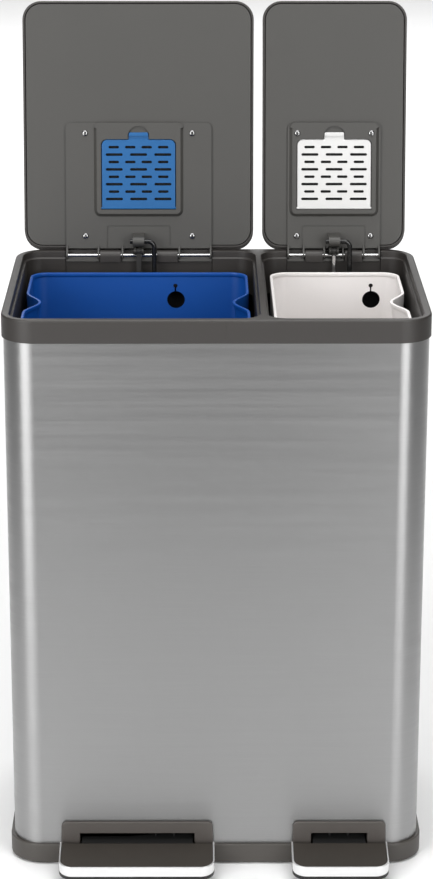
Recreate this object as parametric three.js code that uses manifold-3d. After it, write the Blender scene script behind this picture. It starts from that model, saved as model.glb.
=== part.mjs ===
// Double recycling bin: two pedals, two lids, two lift-out buckets.
// Millimetres, +Z up, front towards -Y, origin on the floor under the middle of the body.
// It stands with both lids open. Each lid is built shut and turned open about its hinge,
// and each pedal is built level and turned down about its axle.

import * as THREE from 'three';
import { mergeVertices } from 'three/addons/utils/BufferGeometryUtils.js';
import Module from 'manifold-3d';

const wasm = await Module();
wasm.setup();

// ---- Driving sizes: whole bin ----

const rimWidth = 470;
const rimDepth = 324;
const binHeight = 648;
const rimCorner = 37;
const fit = 0.3; // gap between pieces that nest or rest on each other
const cut = 1; // how far a cutter runs past the face that it cuts
const sink = 1; // how far a rib or boss runs into what carries it
const cornerSteps = 5; // facets in a quarter turn of a body corner

// ---- Steel body ----

const steelSheet = 1;
const steelFoot = 25; // lower edge, on the base's ledge

// ---- Base ----

const baseProud = 2.15; // how far the base stands out past the rim
const baseChamfer = 1.5;
const ledgeChamfer = 1;
const baseLift = 1.5; // underside of the base above the floor
const baseFloor = 3;
const baseWall = 2.5;
const lapTop = 45; // top of the wall that stands inside the steel
const footRadius = 12;
const footInset = [37, 34]; // middle of a corner foot from the side and the front of the base
const postRadius = 6;
const pegRadius = 2.5;
const postInset = [26, 31]; // middle of a corner post from the wall inside the steel

// ---- Inner floor that the buckets stand on ----

const innerFloorBottom = 64;
const innerFloorThick = 3;
const floorRibHeight = 6;
const floorRibThick = 3;
const floorRibInset = 36; // ends of the rib, from the front of the openings and the rear of the buckets
const rodHoleMargin = 5.5; // beside and behind a push rod
const rodHoleFront = 13.8; // in front of a push rod, which leans forward as its lid shuts

// ---- Top rim ----

const rimBand = 26.2;
const rimSkirt = 1.7;
const rimEdge = 2.5;
const rimTopThick = 3;
const rimInnerDrop = 50;
const landSide = 9;
const landRear = 12;
const dividerX = 51.3;
const dividerLand = 7;
const openingCorner = 22;
const ledgeDrop = 8;
const ledgeWidth = 3;
const rimWall = 2.5;

// ---- Lids and hinges ----

const lidInset = 8.6; // lid side to rim side
const lidGap = 10.6; // between the two lids
const lidLength = 290.4;
const lidThick = 16;
const lidCorner = 22;
const lidWall = 2.7;
const lidTop = 2.6;
const lidEdge = 5;
const lidFootChamfer = 1;
const lipReach = 3; // overhang of the lid's roof past its rear wall
const lipRise = 8.3; // underside of the overhang above the underside of the lid
const linerThick = 3;
const lidTravel = THREE.MathUtils.degToRad(99.5);
const hingeFromRear = 13;
const hingeBelowTop = 5;
const lidRearFromHinge = 8.4; // rear edge of the shut lid, in front of the hinge
const lidAboveHinge = 6.2; // underside of the shut lid, above the hinge
const pinRadius = 2;
const pinBoreClearance = 0.4;
const knuckleRadius = 6;
const windowRib = 2;
const windowRibRadius = 4.6;
const windowBarReach = 7;
const windowBarThick = 3;
const pocketClearance = 0.4;
const hingeGap = 0.8; // sideways, between lid ribs and rim knuckles
const apronDrop = 39;

// ---- Bracket under each lid ----

const bracketLength = 148.5;
const bracketThick = 2.7;
const bracketCorner = 7;
const bezelWidth = 106;
const bezelFrom = 37.6;
const bezelRaise = 3.5;
const bezelCorner = 8;
const panelWidth = 76;
const panelLength = 27;
const panelSink = 0.8;
const panelCorner = 3;
const screwFrom = 14.4;
const screwTo = 136;
const screwHeadEdge = 0.8; // share of the head's radius that is flat
const screwHeadRadius = 3.5;
const screwHeadHigh = 1.8;
const screwShankRadius = 1.5;
const screwLength = 9;
const bossRadius = 4;

// ---- Filter cover and pad ----

const coverWidth = 88;
const coverFrom = 46.4;
const coverLength = 82.3;
const coverThick = 2.7;
const coverSink = 0.5;
const coverCorner = 7;
const coverGap = 0.5;
const coverLedge = 3;
const coverStub = 2; // pivot stubs past the cover's sides
const slotHigh = 3;
const slotPitch = 8.74;
const slotFirst = 12.1; // middle of the lowest row above the cover's lower edge
const slotRows = 8;
const longSlots = { places: [-1, 0, 1], pitch: 28.8, length: 20.2 };
const shortSlots = { places: [-1.5, -0.5, 0.5, 1.5], pitch: 19.5, length: 12.4 };
const tabWidth = 24.4;
const tabReach = 8.3;
const tabThick = 2;
const tabRoot = 3; // how far the tab runs back under the cover
const tabCorner = 2;
const tabRecess = 15.9;
const padThick = 9;
const padGap = 0.5;
const pocketRoof = 2;

// ---- Links: push rod and damper ----

const rodRadius = 2.75;
const rodSideways = 18.4; // upright part of the push rod from the lid's middle
const rodBend = 7;
const rodPivotFront = 17.6; // pivots of the shut lid, from the hinge
const rodPivotDrop = 16.1;
const lugWidth = 13.5;
const lugRadius = 6;
const lugBase = [-27.3, -8];
const stubPast = 3.5;
const damperPivotFront = 6.5;
const damperPivotDrop = 9.7;
const damperEyeRadius = 4.3;
const damperEyeWidth = 6;
const damperEar = 2.2;
const damperEarRadius = 4;
const damperPinRadius = 1.6;
const damperRodRadius = 3;
const damperRodLength = 110;
const damperLength = 180; // pivot to pivot, drawn out
const cylinderRadius = 6.5;
const cylinderBore = 3.4;
const cylinderLength = 118;
const cylinderEnd = 6; // solid foot of the cylinder under its bore
const cylinderAboveFoot = 4.5; // lower end of the cylinder above its foot pin
const footEye = [6, 7]; // eye of the cylinder's foot, across and front to back
const footEyeBelow = 4;
const footPinRadius = 2.5;
const strapThick = 2;
const strapWidth = 24;
const strapSetBack = 8.5;
const strapScrewRise = 8; // screws above the lower edge of the hinge block
const strapPastScrew = 6;
const strapPastFoot = 12;
const cheekMargin = [3, 4]; // steel round the slot in a cheek, front to back and up
const slotClearance = 0.4;

// ---- Pedals ----

const pedalReach = 105.5; // front edge from the axle, level
const pedalRear = 53;
const pedalCorner = 16;
const pedalSlope = THREE.MathUtils.degToRad(7); // pressed
const axleRadius = 3;
const axleBack = 48; // behind the front of the rim
const axleHeight = 22;
const trimThick = 1.6;
const trimHigh = 12.4;
const lipHigh = 4.2;
const treadTop = 15; // above the axle
const padPlate = 4;
const padOverlap = 3; // front of the neck and rear of the pad, from the rear of the tray
const neckThick = 4.2;
const trayWall = 2.5;
const earThick = 4;
const earRadius = 8;
const earGap = 0.8;
const neckMargin = 2;
const ribPitch = 21.05;
const ribThick = 2;
const ribHigh = 4.5;
const ribSpan = [13, 14]; // rear of the ribs from the tray, front from the axle
const neckPastAxle = 4;
const leverThick = 3;
const leverHalfHigh = 6.5;
const leverPaddle = 3.4; // steel left around the slot
const leverSide = 8; // lever plate beside the push rod
const leverFlange = 2;
const flangeHalf = 14;
const flangeSpan = [-36, -12]; // along the pedal, from the axle
const heelReach = [6, 16]; // lever behind the axle, at its top and at its middle
const slotApproach = 12; // where the lever starts to widen in front of its slot
const catchThick = 2;
const catchSpan = [-30, -18];
const clipThick = 1.5;
const clipProud = 3; // clip past the axle
const axleHeadProud = 2.5;
const axlePastClip = 2;
const hookPast = 4;
const surroundSlim = 3; // surround narrower than the pedal
const surroundTop = 53;
const surroundCorner = 6;
const slotSlim = 45.3; // slot narrower than the pedal
const slotTop = 38.8;
const collarWall = 1.7;
const collarDepth = 3; // collar behind the face of the steel

// ---- Buckets ----

const bucketTop = 630;
const bucketGap = 6.5; // to the rim's inner wall at each side
const bucketFrontGap = 5;
const bucketRear = 119;
const bucketCorner = 26;
const bucketTaper = 12;
const bucketWall = 2;
const bucketFoot = 6;
const scoopDepth = 16;
const scoopMiddle = -17;
const scoopHalf = 39.5;
const scoopDrop = 120;
const bagHoleRadius = 10.5;
const bagHoleDrop = 33;
const bagNotchRadius = 2.6;
const bagNotchRise = 17;

// ---- What differs from left to right ----

const sides = {
  left: {
    bracketWidth: 172.7,
    pedalWidth: 176.5,
    knuckleFrom: 21.4,
    knuckleWidth: 24.9,
    screwInset: 22.9,
    bagHoleFromMiddle: 44.2,
    damperSocket: 24, // sleeve of the damper's eye, below the eye
    scoops: [-1, 1],
    bucketColour: 0x1f5fb4,
    coverColour: 0x3f7fcb,
  },
  right: {
    bracketWidth: 110,
    pedalWidth: 109.5,
    knuckleFrom: 13,
    knuckleWidth: 20.9,
    screwInset: 11.2,
    bagHoleFromMiddle: 43.3,
    damperSocket: 1.5,
    scoops: [1],
    bucketColour: 0xe6e2df,
    coverColour: 0xf2f1f0,
  },
};

// ---- Materials ----

function finish(color, roughness, metalness = 0) {
  return new THREE.MeshStandardMaterial({ color, roughness, metalness });
}

const plastic = finish(0x57524e, 0.5);
const linerPlastic = finish(0x64625d, 0.55);
const padPlastic = finish(0x3f3a34, 0.7);
const darkPlastic = finish(0x1c1b1a, 0.6);
const filterFoam = finish(0x0d0d0d, 0.95);
const brushedSteel = finish(0xb9b9b8, 0.35, 1);
const brightSteel = finish(0xd8d8d8, 0.15, 1);
const zincSteel = finish(0x9c9c98, 0.4, 1);
const blackWire = finish(0x111111, 0.35, 0.5);

// ---- Solids from three.js geometry ----

function toSolid(geometry) {
  const bare = geometry.clone();
  bare.deleteAttribute('normal');
  bare.deleteAttribute('uv');
  const merged = mergeVertices(bare, 1e-4);
  return new wasm.Manifold(new wasm.Mesh({
    numProp: 3,
    vertProperties: new Float32Array(merged.attributes.position.array),
    triVerts: new Uint32Array(merged.index.array),
  }));
}

function toGeometry(solid) {
  const { vertProperties, triVerts } = solid.getMesh();
  const geometry = new THREE.BufferGeometry();
  geometry.setAttribute('position', new THREE.Float32BufferAttribute(vertProperties, 3));
  geometry.setIndex([...triVerts]);
  geometry.computeVertexNormals();
  return geometry;
}

function join(...solids) {
  return solids.flat().reduce((all, next) => all.add(next));
}

// Skin over levels of equally many points, each level turning anticlockwise about the way it goes.
function loft(levels, isLoop = false) {
  const count = levels[0].length;
  const points = levels.flat();
  const faces = [];
  const spans = isLoop ? levels.length : levels.length - 1;
  for (let level = 0; level < spans; level++) {
    const here = level * count;
    const above = ((level + 1) % levels.length) * count;
    for (let i = 0; i < count; i++) {
      const j = (i + 1) % count;
      faces.push(here + i, here + j, above + j, here + i, above + j, above + i);
    }
  }
  if (!isLoop) {
    for (const [level, isLast] of [[0, false], [levels.length - 1, true]]) {
      const middle = levels[level].reduce((sum, p) => sum.map((v, k) => v + p[k] / count), [0, 0, 0]);
      const hub = points.push(middle) - 1;
      for (let i = 0; i < count; i++) {
        const [a, b] = [level * count + i, level * count + ((i + 1) % count)];
        faces.push(hub, isLast ? a : b, isLast ? b : a);
      }
    }
  }
  const geometry = new THREE.BufferGeometry();
  geometry.setAttribute('position', new THREE.Float32BufferAttribute(points.flat(), 3));
  geometry.setIndex(faces);
  return toSolid(geometry);
}

// Rounded rectangle, anticlockwise from above.
function roundedRing(width, depth, radius, x = 0, y = 0, steps = cornerSteps) {
  const points = [];
  [[1, 1], [-1, 1], [-1, -1], [1, -1]].forEach(([sx, sy], quarter) => {
    for (let i = 0; i <= steps; i++) {
      const angle = (quarter + i / steps) * Math.PI / 2;
      points.push([
        x + sx * (width / 2 - radius) + radius * Math.cos(angle),
        y + sy * (depth / 2 - radius) + radius * Math.sin(angle),
      ]);
    }
  });
  return points;
}

function at(ring, z) {
  return ring.map(([x, y]) => [x, y, z]);
}

// Rounded box given by its plan; levels are pairs of height and inset.
function roundedBlock(plan, levels, isLoop = false) {
  const { width, depth, radius, x = 0, y = 0 } = plan;
  return loft(levels.map(([z, inset]) =>
    at(roundedRing(width - 2 * inset, depth - 2 * inset, radius - inset, x, y), z)), isLoop);
}

function grown(plan, by) {
  return { ...plan, width: plan.width + 2 * by, depth: plan.depth + 2 * by, radius: plan.radius + by };
}

// Levels of a top edge that is eased over by the given radius.
function eased(top, radius) {
  return [[top - radius, 0], [top - radius * 0.3, radius * 0.3], [top, radius]];
}

function box([x0, x1], [y0, y1], [z0, z1]) {
  const geometry = new THREE.BoxGeometry(x1 - x0, y1 - y0, z1 - z0);
  return toSolid(geometry.translate((x0 + x1) / 2, (y0 + y1) / 2, (z0 + z1) / 2));
}

function upright(radius, x, y, z0, z1, facets = 12) {
  const geometry = new THREE.CylinderGeometry(radius, radius, z1 - z0, facets);
  return toSolid(geometry.rotateX(Math.PI / 2).translate(x, y, (z0 + z1) / 2));
}

function crosswise(radius, x0, x1, y, z, facets = 12) {
  const geometry = new THREE.CylinderGeometry(radius, radius, x1 - x0, facets);
  return toSolid(geometry.rotateZ(Math.PI / 2).translate((x0 + x1) / 2, y, z));
}

function extruded(outline, length) {
  const shape = outline instanceof THREE.Shape ? outline
    : new THREE.Shape(outline.map(([a, b]) => new THREE.Vector2(a, b)));
  return new THREE.ExtrudeGeometry(shape, { depth: length, bevelEnabled: false, curveSegments: 5 });
}

// Outline in Y and Z, carried along X.
function sideProfile(outline, x0, x1) {
  const turn = new THREE.Matrix4().makeBasis(
    new THREE.Vector3(0, 1, 0), new THREE.Vector3(0, 0, 1), new THREE.Vector3(1, 0, 0));
  return toSolid(extruded(outline, x1 - x0).applyMatrix4(turn).translate(x0, 0, 0));
}

// Outline in X and Z, carried along Y.
function frontProfile(outline, y0, y1) {
  return toSolid(extruded(outline, y1 - y0).rotateX(Math.PI / 2).translate(0, y1, 0));
}

// Outline in X and Y, carried along Z.
function planProfile(outline, z0, z1) {
  return toSolid(extruded(outline, z1 - z0).translate(0, 0, z0));
}

// From point a round the far side of a circle to point b, anticlockwise.
function tongue([cy, cz], radius, a, b, steps = 6) {
  const touch = ([y, z], way) => Math.atan2(z - cz, y - cy)
    + way * Math.acos(radius / Math.hypot(y - cy, z - cz));
  const start = touch(a, 1);
  let end = touch(b, -1);
  while (end < start) end += 2 * Math.PI;
  const points = [a];
  for (let i = 0; i <= steps; i++) {
    const angle = start + (end - start) * i / steps;
    points.push([cy + radius * Math.cos(angle), cz + radius * Math.sin(angle)]);
  }
  return [...points, b];
}

// Round wire through points in a plane of constant y; its bends are mitred.
function bentWire(path, y, radius, facets = 10) {
  const way = (a, b) => new THREE.Vector2(b[0] - a[0], b[1] - a[1]).normalize();
  const levels = path.map((point, i) => {
    const before = way(path[Math.max(i - 1, 0)], path[Math.max(i, 1)]);
    const after = way(path[Math.min(i, path.length - 2)], path[Math.min(i + 1, path.length - 1)]);
    const along = before.clone().add(after).normalize();
    const stretch = 1 / along.dot(before);
    return Array.from({ length: facets }, (_, k) => {
      const angle = 2 * Math.PI * k / facets;
      const across = radius * stretch * Math.cos(angle);
      return [point[0] + across * along.y, y + radius * Math.sin(angle), point[1] - across * along.x];
    });
  });
  return loft(levels);
}

function quarterBend([cx, cz], radius, from, steps = 5) {
  return Array.from({ length: steps + 1 }, (_, i) => {
    const angle = from - (Math.PI / 2) * i / steps;
    return [cx + radius * Math.cos(angle), cz + radius * Math.sin(angle)];
  });
}

function panScrew(length) {
  const points = [
    [0, 0], [screwHeadRadius * screwHeadEdge, 0], [screwHeadRadius, screwHeadHigh / 2],
    [screwHeadRadius, screwHeadHigh], [screwShankRadius, screwHeadHigh],
    [screwShankRadius, screwHeadHigh + length], [0, screwHeadHigh + length],
  ].map(([r, z]) => new THREE.Vector2(r, z));
  return new THREE.LatheGeometry(points, 8).rotateX(Math.PI / 2);
}

// ---- Sizes that follow from the driving ones ----

const bodyPlan = {
  width: rimWidth - 2 * (rimSkirt + fit),
  depth: rimDepth - 2 * (rimSkirt + fit),
  radius: rimCorner - rimSkirt - fit,
};
const insidePlan = grown(bodyPlan, -steelSheet - fit); // what nests inside the steel
const insideRear = insidePlan.depth / 2;
const steelTop = binHeight - rimTopThick - fit;
const steelFront = -bodyPlan.depth / 2;
const basePlan = {
  width: rimWidth + 2 * baseProud,
  depth: rimDepth + 2 * baseProud,
  radius: rimCorner + baseProud,
};
const baseFront = -basePlan.depth / 2;
const baseInside = baseLift + baseFloor;
const innerFloorTop = innerFloorBottom + innerFloorThick;

const hingeY = rimDepth / 2 - hingeFromRear;
const hingeZ = binHeight - hingeBelowTop;
const openingFront = -rimDepth / 2 + landSide;
const openingRear = rimDepth / 2 - landRear;
const pocketRadius = Math.hypot(windowBarReach, windowBarThick / 2) + pocketClearance;

const axleY = -rimDepth / 2 + axleBack;
const plateBottom = lidAboveHinge - fit - bracketThick; // bracket's face, from the hinge
const bezelFace = plateBottom - bezelRaise;
const coverFace = bezelFace + coverSink;
const coverBack = coverFace + coverThick;
const coverPivot = { y: -lidRearFromHinge - coverFrom - coverThick / 2, z: (coverFace + coverBack) / 2 };

// A point fixed to the lid, in the hinge's own frame, when the lid has been turned from open.
function lidPoint([y, z], turned) {
  const angle = turned - lidTravel;
  return [y * Math.cos(angle) - z * Math.sin(angle), y * Math.sin(angle) + z * Math.cos(angle)];
}

const rodPivot = [-rodPivotFront, -rodPivotDrop];
const damperPivot = [-damperPivotFront, -damperPivotDrop];
const [rodOpenY, rodOpenZ] = lidPoint(rodPivot, 0);
const [damperOpenY, damperOpenZ] = lidPoint(damperPivot, 0);

// The push rod stands plumb while the lid is open, and its foot sits in the pedal lever.
const rodY = hingeY + rodOpenY;
const rodTopZ = hingeZ + rodOpenZ;
const rodFootZ = axleHeight + (rodY - axleY) * Math.tan(pedalSlope);
const rodLength = rodTopZ - rodFootZ;
const leverReach = (rodY - axleY) / Math.cos(pedalSlope);
const [rodShutY, rodShutZ] = lidPoint(rodPivot, lidTravel);
const pedalTravel = pedalSlope - Math.asin(Math.sin(pedalSlope) - (rodOpenZ - rodShutZ) / leverReach);
const rodLean = (rodOpenY - rodShutY) / rodLength;
const damperY = hingeY + damperOpenY;
const damperTopZ = hingeZ + damperOpenZ;
const damperFootZ = damperTopZ - damperLength;
const [damperShutY, damperShutZ] = lidPoint(damperPivot, lidTravel);
const damperLean = (damperOpenY - damperShutY) / damperLength;
const damperStroke = damperOpenZ - damperShutZ;

// How far a link's foot wanders from its place, as the link and the lever turn in step with the lid.
function footWander(pivot, length, lean, carry) {
  const [openY, openZ] = lidPoint(pivot, 0);
  const spread = { low: [0, 0], high: [0, 0] };
  const samples = 40;
  for (let i = 0; i <= samples; i++) {
    const share = i / samples;
    const [y, z] = lidPoint(pivot, share * lidTravel);
    const foot = carry([
      y - openY + length * Math.sin(share * lean),
      z - openZ + length * (1 - Math.cos(share * lean)),
    ], share);
    spread.low = spread.low.map((v, k) => Math.min(v, foot[k]));
    spread.high = spread.high.map((v, k) => Math.max(v, foot[k]));
  }
  return spread;
}

const rodWander = footWander(rodPivot, rodLength, rodLean, ([y, z], share) => {
  const tilt = pedalSlope - share * pedalTravel;
  const [dy, dz] = [leverReach * Math.cos(pedalSlope) + y, leverReach * Math.sin(pedalSlope) + z];
  return [dy * Math.cos(tilt) + dz * Math.sin(tilt) - leverReach, -dy * Math.sin(tilt) + dz * Math.cos(tilt)];
});
const damperWander = footWander(damperPivot, damperLength, damperLean,
  ([y, z], share) => [y, z + share * damperStroke]);

function sideOf(name) {
  const sign = name === 'left' ? -1 : 1;
  const size = sides[name];
  const outer = sign * (rimWidth / 2 - lidInset);
  const inner = dividerX + sign * lidGap / 2;
  const middle = (outer + inner) / 2;
  const half = (width) => [middle - width / 2, middle + width / 2];
  const openOuter = sign * (rimWidth / 2 - landSide);
  const openInner = dividerX + sign * dividerLand / 2;
  const opening = {
    width: Math.abs(openOuter - openInner),
    depth: openingRear - openingFront,
    radius: openingCorner,
    x: (openOuter + openInner) / 2,
    y: (openingFront + openingRear) / 2,
  };
  const knuckleTo = size.knuckleFrom + size.knuckleWidth;
  const windowEnd = size.bracketWidth / 2;
  return {
    ...size,
    name,
    middle,
    half,
    lidWidth: Math.abs(outer - inner),
    opening,
    bracket: half(size.bracketWidth),
    pedal: half(size.pedalWidth),
    slot: half(size.pedalWidth - slotSlim),
    surround: half(size.pedalWidth - surroundSlim),
    neck: half(size.pedalWidth - slotSlim - 2 * neckMargin),
    knuckles: [[-knuckleTo, -size.knuckleFrom], [size.knuckleFrom, knuckleTo]]
      .map((span) => span.map((x) => middle + x)),
    windows: [
      [-windowEnd, -knuckleTo - hingeGap],
      [-size.knuckleFrom + hingeGap, size.knuckleFrom - hingeGap],
      [knuckleTo + hingeGap, windowEnd],
    ].map((span) => span.map((x) => middle + x)),
    screwXs: [-1, 1].map((way) => middle + way * (windowEnd - size.screwInset)),
    rodX: middle + rodSideways,
    leverX: middle + rodSideways - leverSide,
  };
}

const left = sideOf('left');
const right = sideOf('right');
const bothSides = [left, right];

// ---- Body: steel, base, feet, inner floor ----

function slotWindow(side, margin, y, z) {
  return box([side.slot[0] - margin, side.slot[1] + margin], y, z);
}

function steelBody() {
  const wall = roundedBlock(bodyPlan,
    [[steelFoot, 0], [steelTop, 0], [steelTop, steelSheet], [steelFoot, steelSheet]], true);
  const margin = collarWall + fit;
  return bothSides.reduce((body, side) => body.subtract(slotWindow(side, margin,
    [steelFront - cut, steelFront + steelSheet + cut], [steelFoot - cut, slotTop + margin])), wall);
}

function neckEars(side) {
  const [x0, x1] = side.neck;
  return [[x0, x0 + earThick], [x1 - earThick, x1]];
}

function axleEars(side) {
  const [x0, x1] = side.neck;
  return [[x0 - earGap - earThick, x0 - earGap], [x1 + earGap, x1 + earGap + earThick]];
}

// Two corners at each side and two between, for feet and posts.
function sixPlaces(plan, [insetX, insetY], middleX) {
  const [x, y] = [plan.width / 2 - insetX, plan.depth / 2 - insetY];
  return [-x, middleX, x].flatMap((px) => [[px, -y], [px, y]]);
}

const postPlaces = sixPlaces(insidePlan, postInset, dividerX - 2 * leverSide);
const footPlaces = sixPlaces(basePlan, footInset, 0);

function base() {
  const tray = roundedBlock(basePlan, [
    [baseLift, baseChamfer], [baseLift + baseChamfer, 0],
    [steelFoot - ledgeChamfer, 0], [steelFoot, ledgeChamfer],
  ]);
  const lap = roundedBlock(insidePlan, [[baseInside, 0], [lapTop, 0]]);
  const hollow = roundedBlock(grown(insidePlan, -baseWall), [[baseInside, 0], [lapTop + cut, 0]]);
  const ears = bothSides.flatMap((side) => axleEars(side).map(([x0, x1]) => sideProfile(
    tongue([axleY, axleHeight], earRadius,
      [axleY + earRadius, baseInside - cut], [axleY - earRadius, baseInside - cut]), x0, x1)));
  const bores = bothSides.map((side) => {
    const [[x0], [, x1]] = axleEars(side);
    return crosswise(axleRadius + pinBoreClearance, x0 - cut, x1 + cut, axleY, axleHeight);
  });
  const windows = bothSides.map((side) => slotWindow(side, collarWall + 2 * fit,
    [steelFront, -insidePlan.depth / 2 + baseWall + cut], [steelFoot, lapTop + cut]));
  const posts = postPlaces.flatMap(([x, y]) => [
    upright(postRadius, x, y, baseInside - cut, innerFloorBottom, 12),
    upright(pegRadius, x, y, innerFloorBottom - cut, innerFloorTop, 8),
  ]);
  const feet = footPlaces.map(([x, y]) => upright(footRadius, x, y, 0, baseInside, 16));
  return join(join(tray, lap).subtract(join(hollow, windows)), join(ears).subtract(join(bores)), posts, feet);
}

function innerFloor() {
  const plate = roundedBlock(insidePlan, [[innerFloorBottom, 0], [innerFloorTop, 0]]);
  const rib = box([dividerX - floorRibThick / 2, dividerX + floorRibThick / 2],
    [openingFront + floorRibInset, bucketRear - floorRibInset],
    [innerFloorTop - sink, innerFloorTop + floorRibHeight]);
  const holeReach = rodRadius + rodHoleMargin;
  const rodHoles = bothSides.map((side) => box(
    [side.rodX - holeReach, side.rodX + holeReach],
    [rodY - rodRadius - rodHoleFront, rodY + holeReach], [innerFloorBottom - cut, innerFloorTop + cut]));
  const pegHoles = postPlaces.map(([x, y]) =>
    upright(pegRadius + fit, x, y, innerFloorBottom - cut, innerFloorTop + cut, 8));
  return plate.add(rib).subtract(join(rodHoles, pegHoles));
}

function pedalSurround(side) {
  const [x0, x1] = side.surround;
  const r = surroundCorner;
  const outline = new THREE.Shape();
  outline.moveTo(x0, steelFoot);
  outline.lineTo(x1, steelFoot);
  outline.lineTo(x1, surroundTop - r);
  outline.absarc(x1 - r, surroundTop - r, r, 0, Math.PI / 2);
  outline.lineTo(x0 + r, surroundTop);
  outline.absarc(x0 + r, surroundTop - r, r, Math.PI / 2, Math.PI);
  const plate = frontProfile(outline, baseFront, steelFront - fit);
  const collar = slotWindow(side, collarWall,
    [steelFront - sink, steelFront + collarDepth], [steelFoot, slotTop + collarWall]);
  return plate.add(collar).subtract(slotWindow(side, 0,
    [baseFront - cut, steelFront + collarDepth + cut], [steelFoot - cut, slotTop]));
}

// ---- Top rim and hinge blocks ----

function topRim() {
  const outer = { width: rimWidth, depth: rimDepth, radius: rimCorner };
  const band = roundedBlock(outer, [[binHeight - rimBand, 0], ...eased(binHeight, rimEdge)]);
  const inner = roundedBlock(insidePlan, [[binHeight - rimInnerDrop, 0], [binHeight - rimTopThick, 0]]);
  const groove = roundedBlock(grown(bodyPlan, fit), [
    [binHeight - rimInnerDrop - cut, 0], [steelTop + fit, 0],
    [steelTop + fit, steelSheet + 2 * fit], [binHeight - rimInnerDrop - cut, steelSheet + 2 * fit],
  ], true);
  const bottom = binHeight - rimInnerDrop - cut;
  const upper = bothSides.map((side) =>
    roundedBlock(side.opening, [[binHeight - ledgeDrop, 0], [binHeight + cut, 0]]));
  const lower = bothSides.map((side) =>
    roundedBlock(grown(side.opening, -ledgeWidth), [[bottom, 0], [binHeight, 0]]));
  const kept = bothSides.map((side) =>
    roundedBlock(grown(side.opening, rimWall - ledgeWidth), [[bottom - cut, 0], [binHeight, 0]]));
  const hollow = roundedBlock(grown(insidePlan, -rimWall),
    [[bottom, 0], [binHeight - ledgeDrop - rimTopThick, 0]]).subtract(join(kept));
  const notches = bothSides.map((side) => box(
    [side.bracket[0] - hingeGap - fit, side.bracket[1] + hingeGap + fit],
    [openingRear - openingCorner, insideRear], [bottom, binHeight + cut]));
  return join(band, inner).subtract(groove).subtract(join(upper, lower)).subtract(hollow)
    .subtract(join(notches));
}

function hingeBlock(side) {
  const [x0, x1] = [side.bracket[0] - hingeGap, side.bracket[1] + hingeGap];
  const rear = insideRear - fit;
  const front = hingeY;
  const apronTop = hingeZ - pocketRadius;
  const slab = box([x0, x1], [front, rear], [hingeZ - apronDrop, binHeight]);
  const hollow = box([x0 + rimWall, x1 - rimWall], [front + rimWall, rear - rimWall],
    [hingeZ - apronDrop - cut, apronTop - rimWall]);
  const knuckles = side.knuckles.flatMap(([k0, k1]) => [
    crosswise(knuckleRadius, k0, k1, hingeY, hingeZ, 20),
    box([k0, k1], [hingeY - knuckleRadius, hingeY + sink], [hingeZ - windowBarReach, hingeZ]),
  ]);
  const [[a0, a1], [b0, b1]] = side.knuckles;
  const pockets = [[x0 - cut, a0], [a1, b0], [b1, x1 + cut]].flatMap((span) => [
    crosswise(pocketRadius, ...span, hingeY, hingeZ, 24),
    box(span, [front - cut, hingeY + pocketRadius], [hingeZ, binHeight + cut]),
  ]);
  const bore = crosswise(pinRadius + pinBoreClearance, x0 - cut, x1 + cut, hingeY, hingeZ);
  return slab.subtract(hollow).add(join(knuckles)).subtract(join(pockets, bore))
    .subtract(strapScrewHoles(side, front - cut, rear - rimWall));
}

const strapScrewZ = hingeZ - apronDrop + strapScrewRise;

function strapScrewXs(side) {
  return [-1, 1].map((way) => side.middle + way * (strapWidth / 2 - screwHeadRadius - cut));
}

function strapScrew(x) {
  return toSolid(panScrew(screwLength - 2).rotateX(-Math.PI / 2)
    .translate(x, hingeY - strapThick - screwHeadHigh, strapScrewZ));
}

// Holes through everything from y0 to y1 for the screws of the damper's bracket.
function strapScrewHoles(side, y0, y1) {
  const radius = screwShankRadius + fit;
  return join(strapScrewXs(side).map((x) => toSolid(
    new THREE.CylinderGeometry(radius, radius, y1 - y0, 8).translate(x, (y0 + y1) / 2, strapScrewZ))));
}

function hingePin(side) {
  return crosswise(pinRadius, side.bracket[0] + fit, side.bracket[1] - fit, hingeY, hingeZ);
}

// ---- Lids, built shut in the hinge's own frame ----

function lidPlan(side) {
  return {
    width: side.lidWidth,
    depth: lidLength,
    radius: lidCorner,
    x: side.middle,
    y: -lidRearFromHinge - lidLength / 2,
  };
}

function screwPlaces(side) {
  return side.screwXs.flatMap((x) => [screwFrom, screwTo].map((s) => [x, -lidRearFromHinge - s]));
}

function lidShell(side) {
  const plan = lidPlan(side);
  const top = lidAboveHinge + lidThick;
  const lipBottom = lidAboveHinge + lipRise;
  const walls = roundedBlock(plan, [
    [lidAboveHinge, lidFootChamfer], [lidAboveHinge + lidFootChamfer, 0], [lipBottom + sink, 0],
  ]);
  const roof = roundedBlock({ ...plan, depth: plan.depth + lipReach, y: plan.y + lipReach / 2 },
    [[lipBottom, 0], ...eased(top, lidEdge)]);
  const inside = roundedBlock(grown(plan, -lidWall), [[lidAboveHinge - cut, 0], [top - lidTop, 0]]);
  const bosses = screwPlaces(side).map(([x, y]) =>
    upright(bossRadius, x, y, lidAboveHinge + linerThick + fit, top - lidTop + cut, 10)
      .subtract(upright(screwShankRadius + fit, x, y, lidAboveHinge, top - lidTop - cut, 8)));
  return join(walls, roof).subtract(inside).add(join(bosses));
}

function pocketSpan(side, grow) {
  const half = coverWidth / 2 - coverLedge + grow;
  const y = -lidRearFromHinge - coverFrom;
  return {
    x: [side.middle - half, side.middle + half],
    y: [y - coverLength + coverLedge - grow, y - coverLedge + grow],
  };
}

function lidLiner(side) {
  const panel = roundedBlock(grown(lidPlan(side), -lidWall - fit),
    [[lidAboveHinge, 0], [lidAboveHinge + linerThick, 0]]);
  const pocket = pocketSpan(side, rimWall + fit);
  const holes = screwPlaces(side).map(([x, y]) =>
    upright(screwShankRadius + fit, x, y, 0, lidAboveHinge + linerThick + cut, 8));
  return panel.subtract(box(pocket.x, pocket.y, [0, lidAboveHinge + linerThick + cut])).subtract(join(holes));
}

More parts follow.
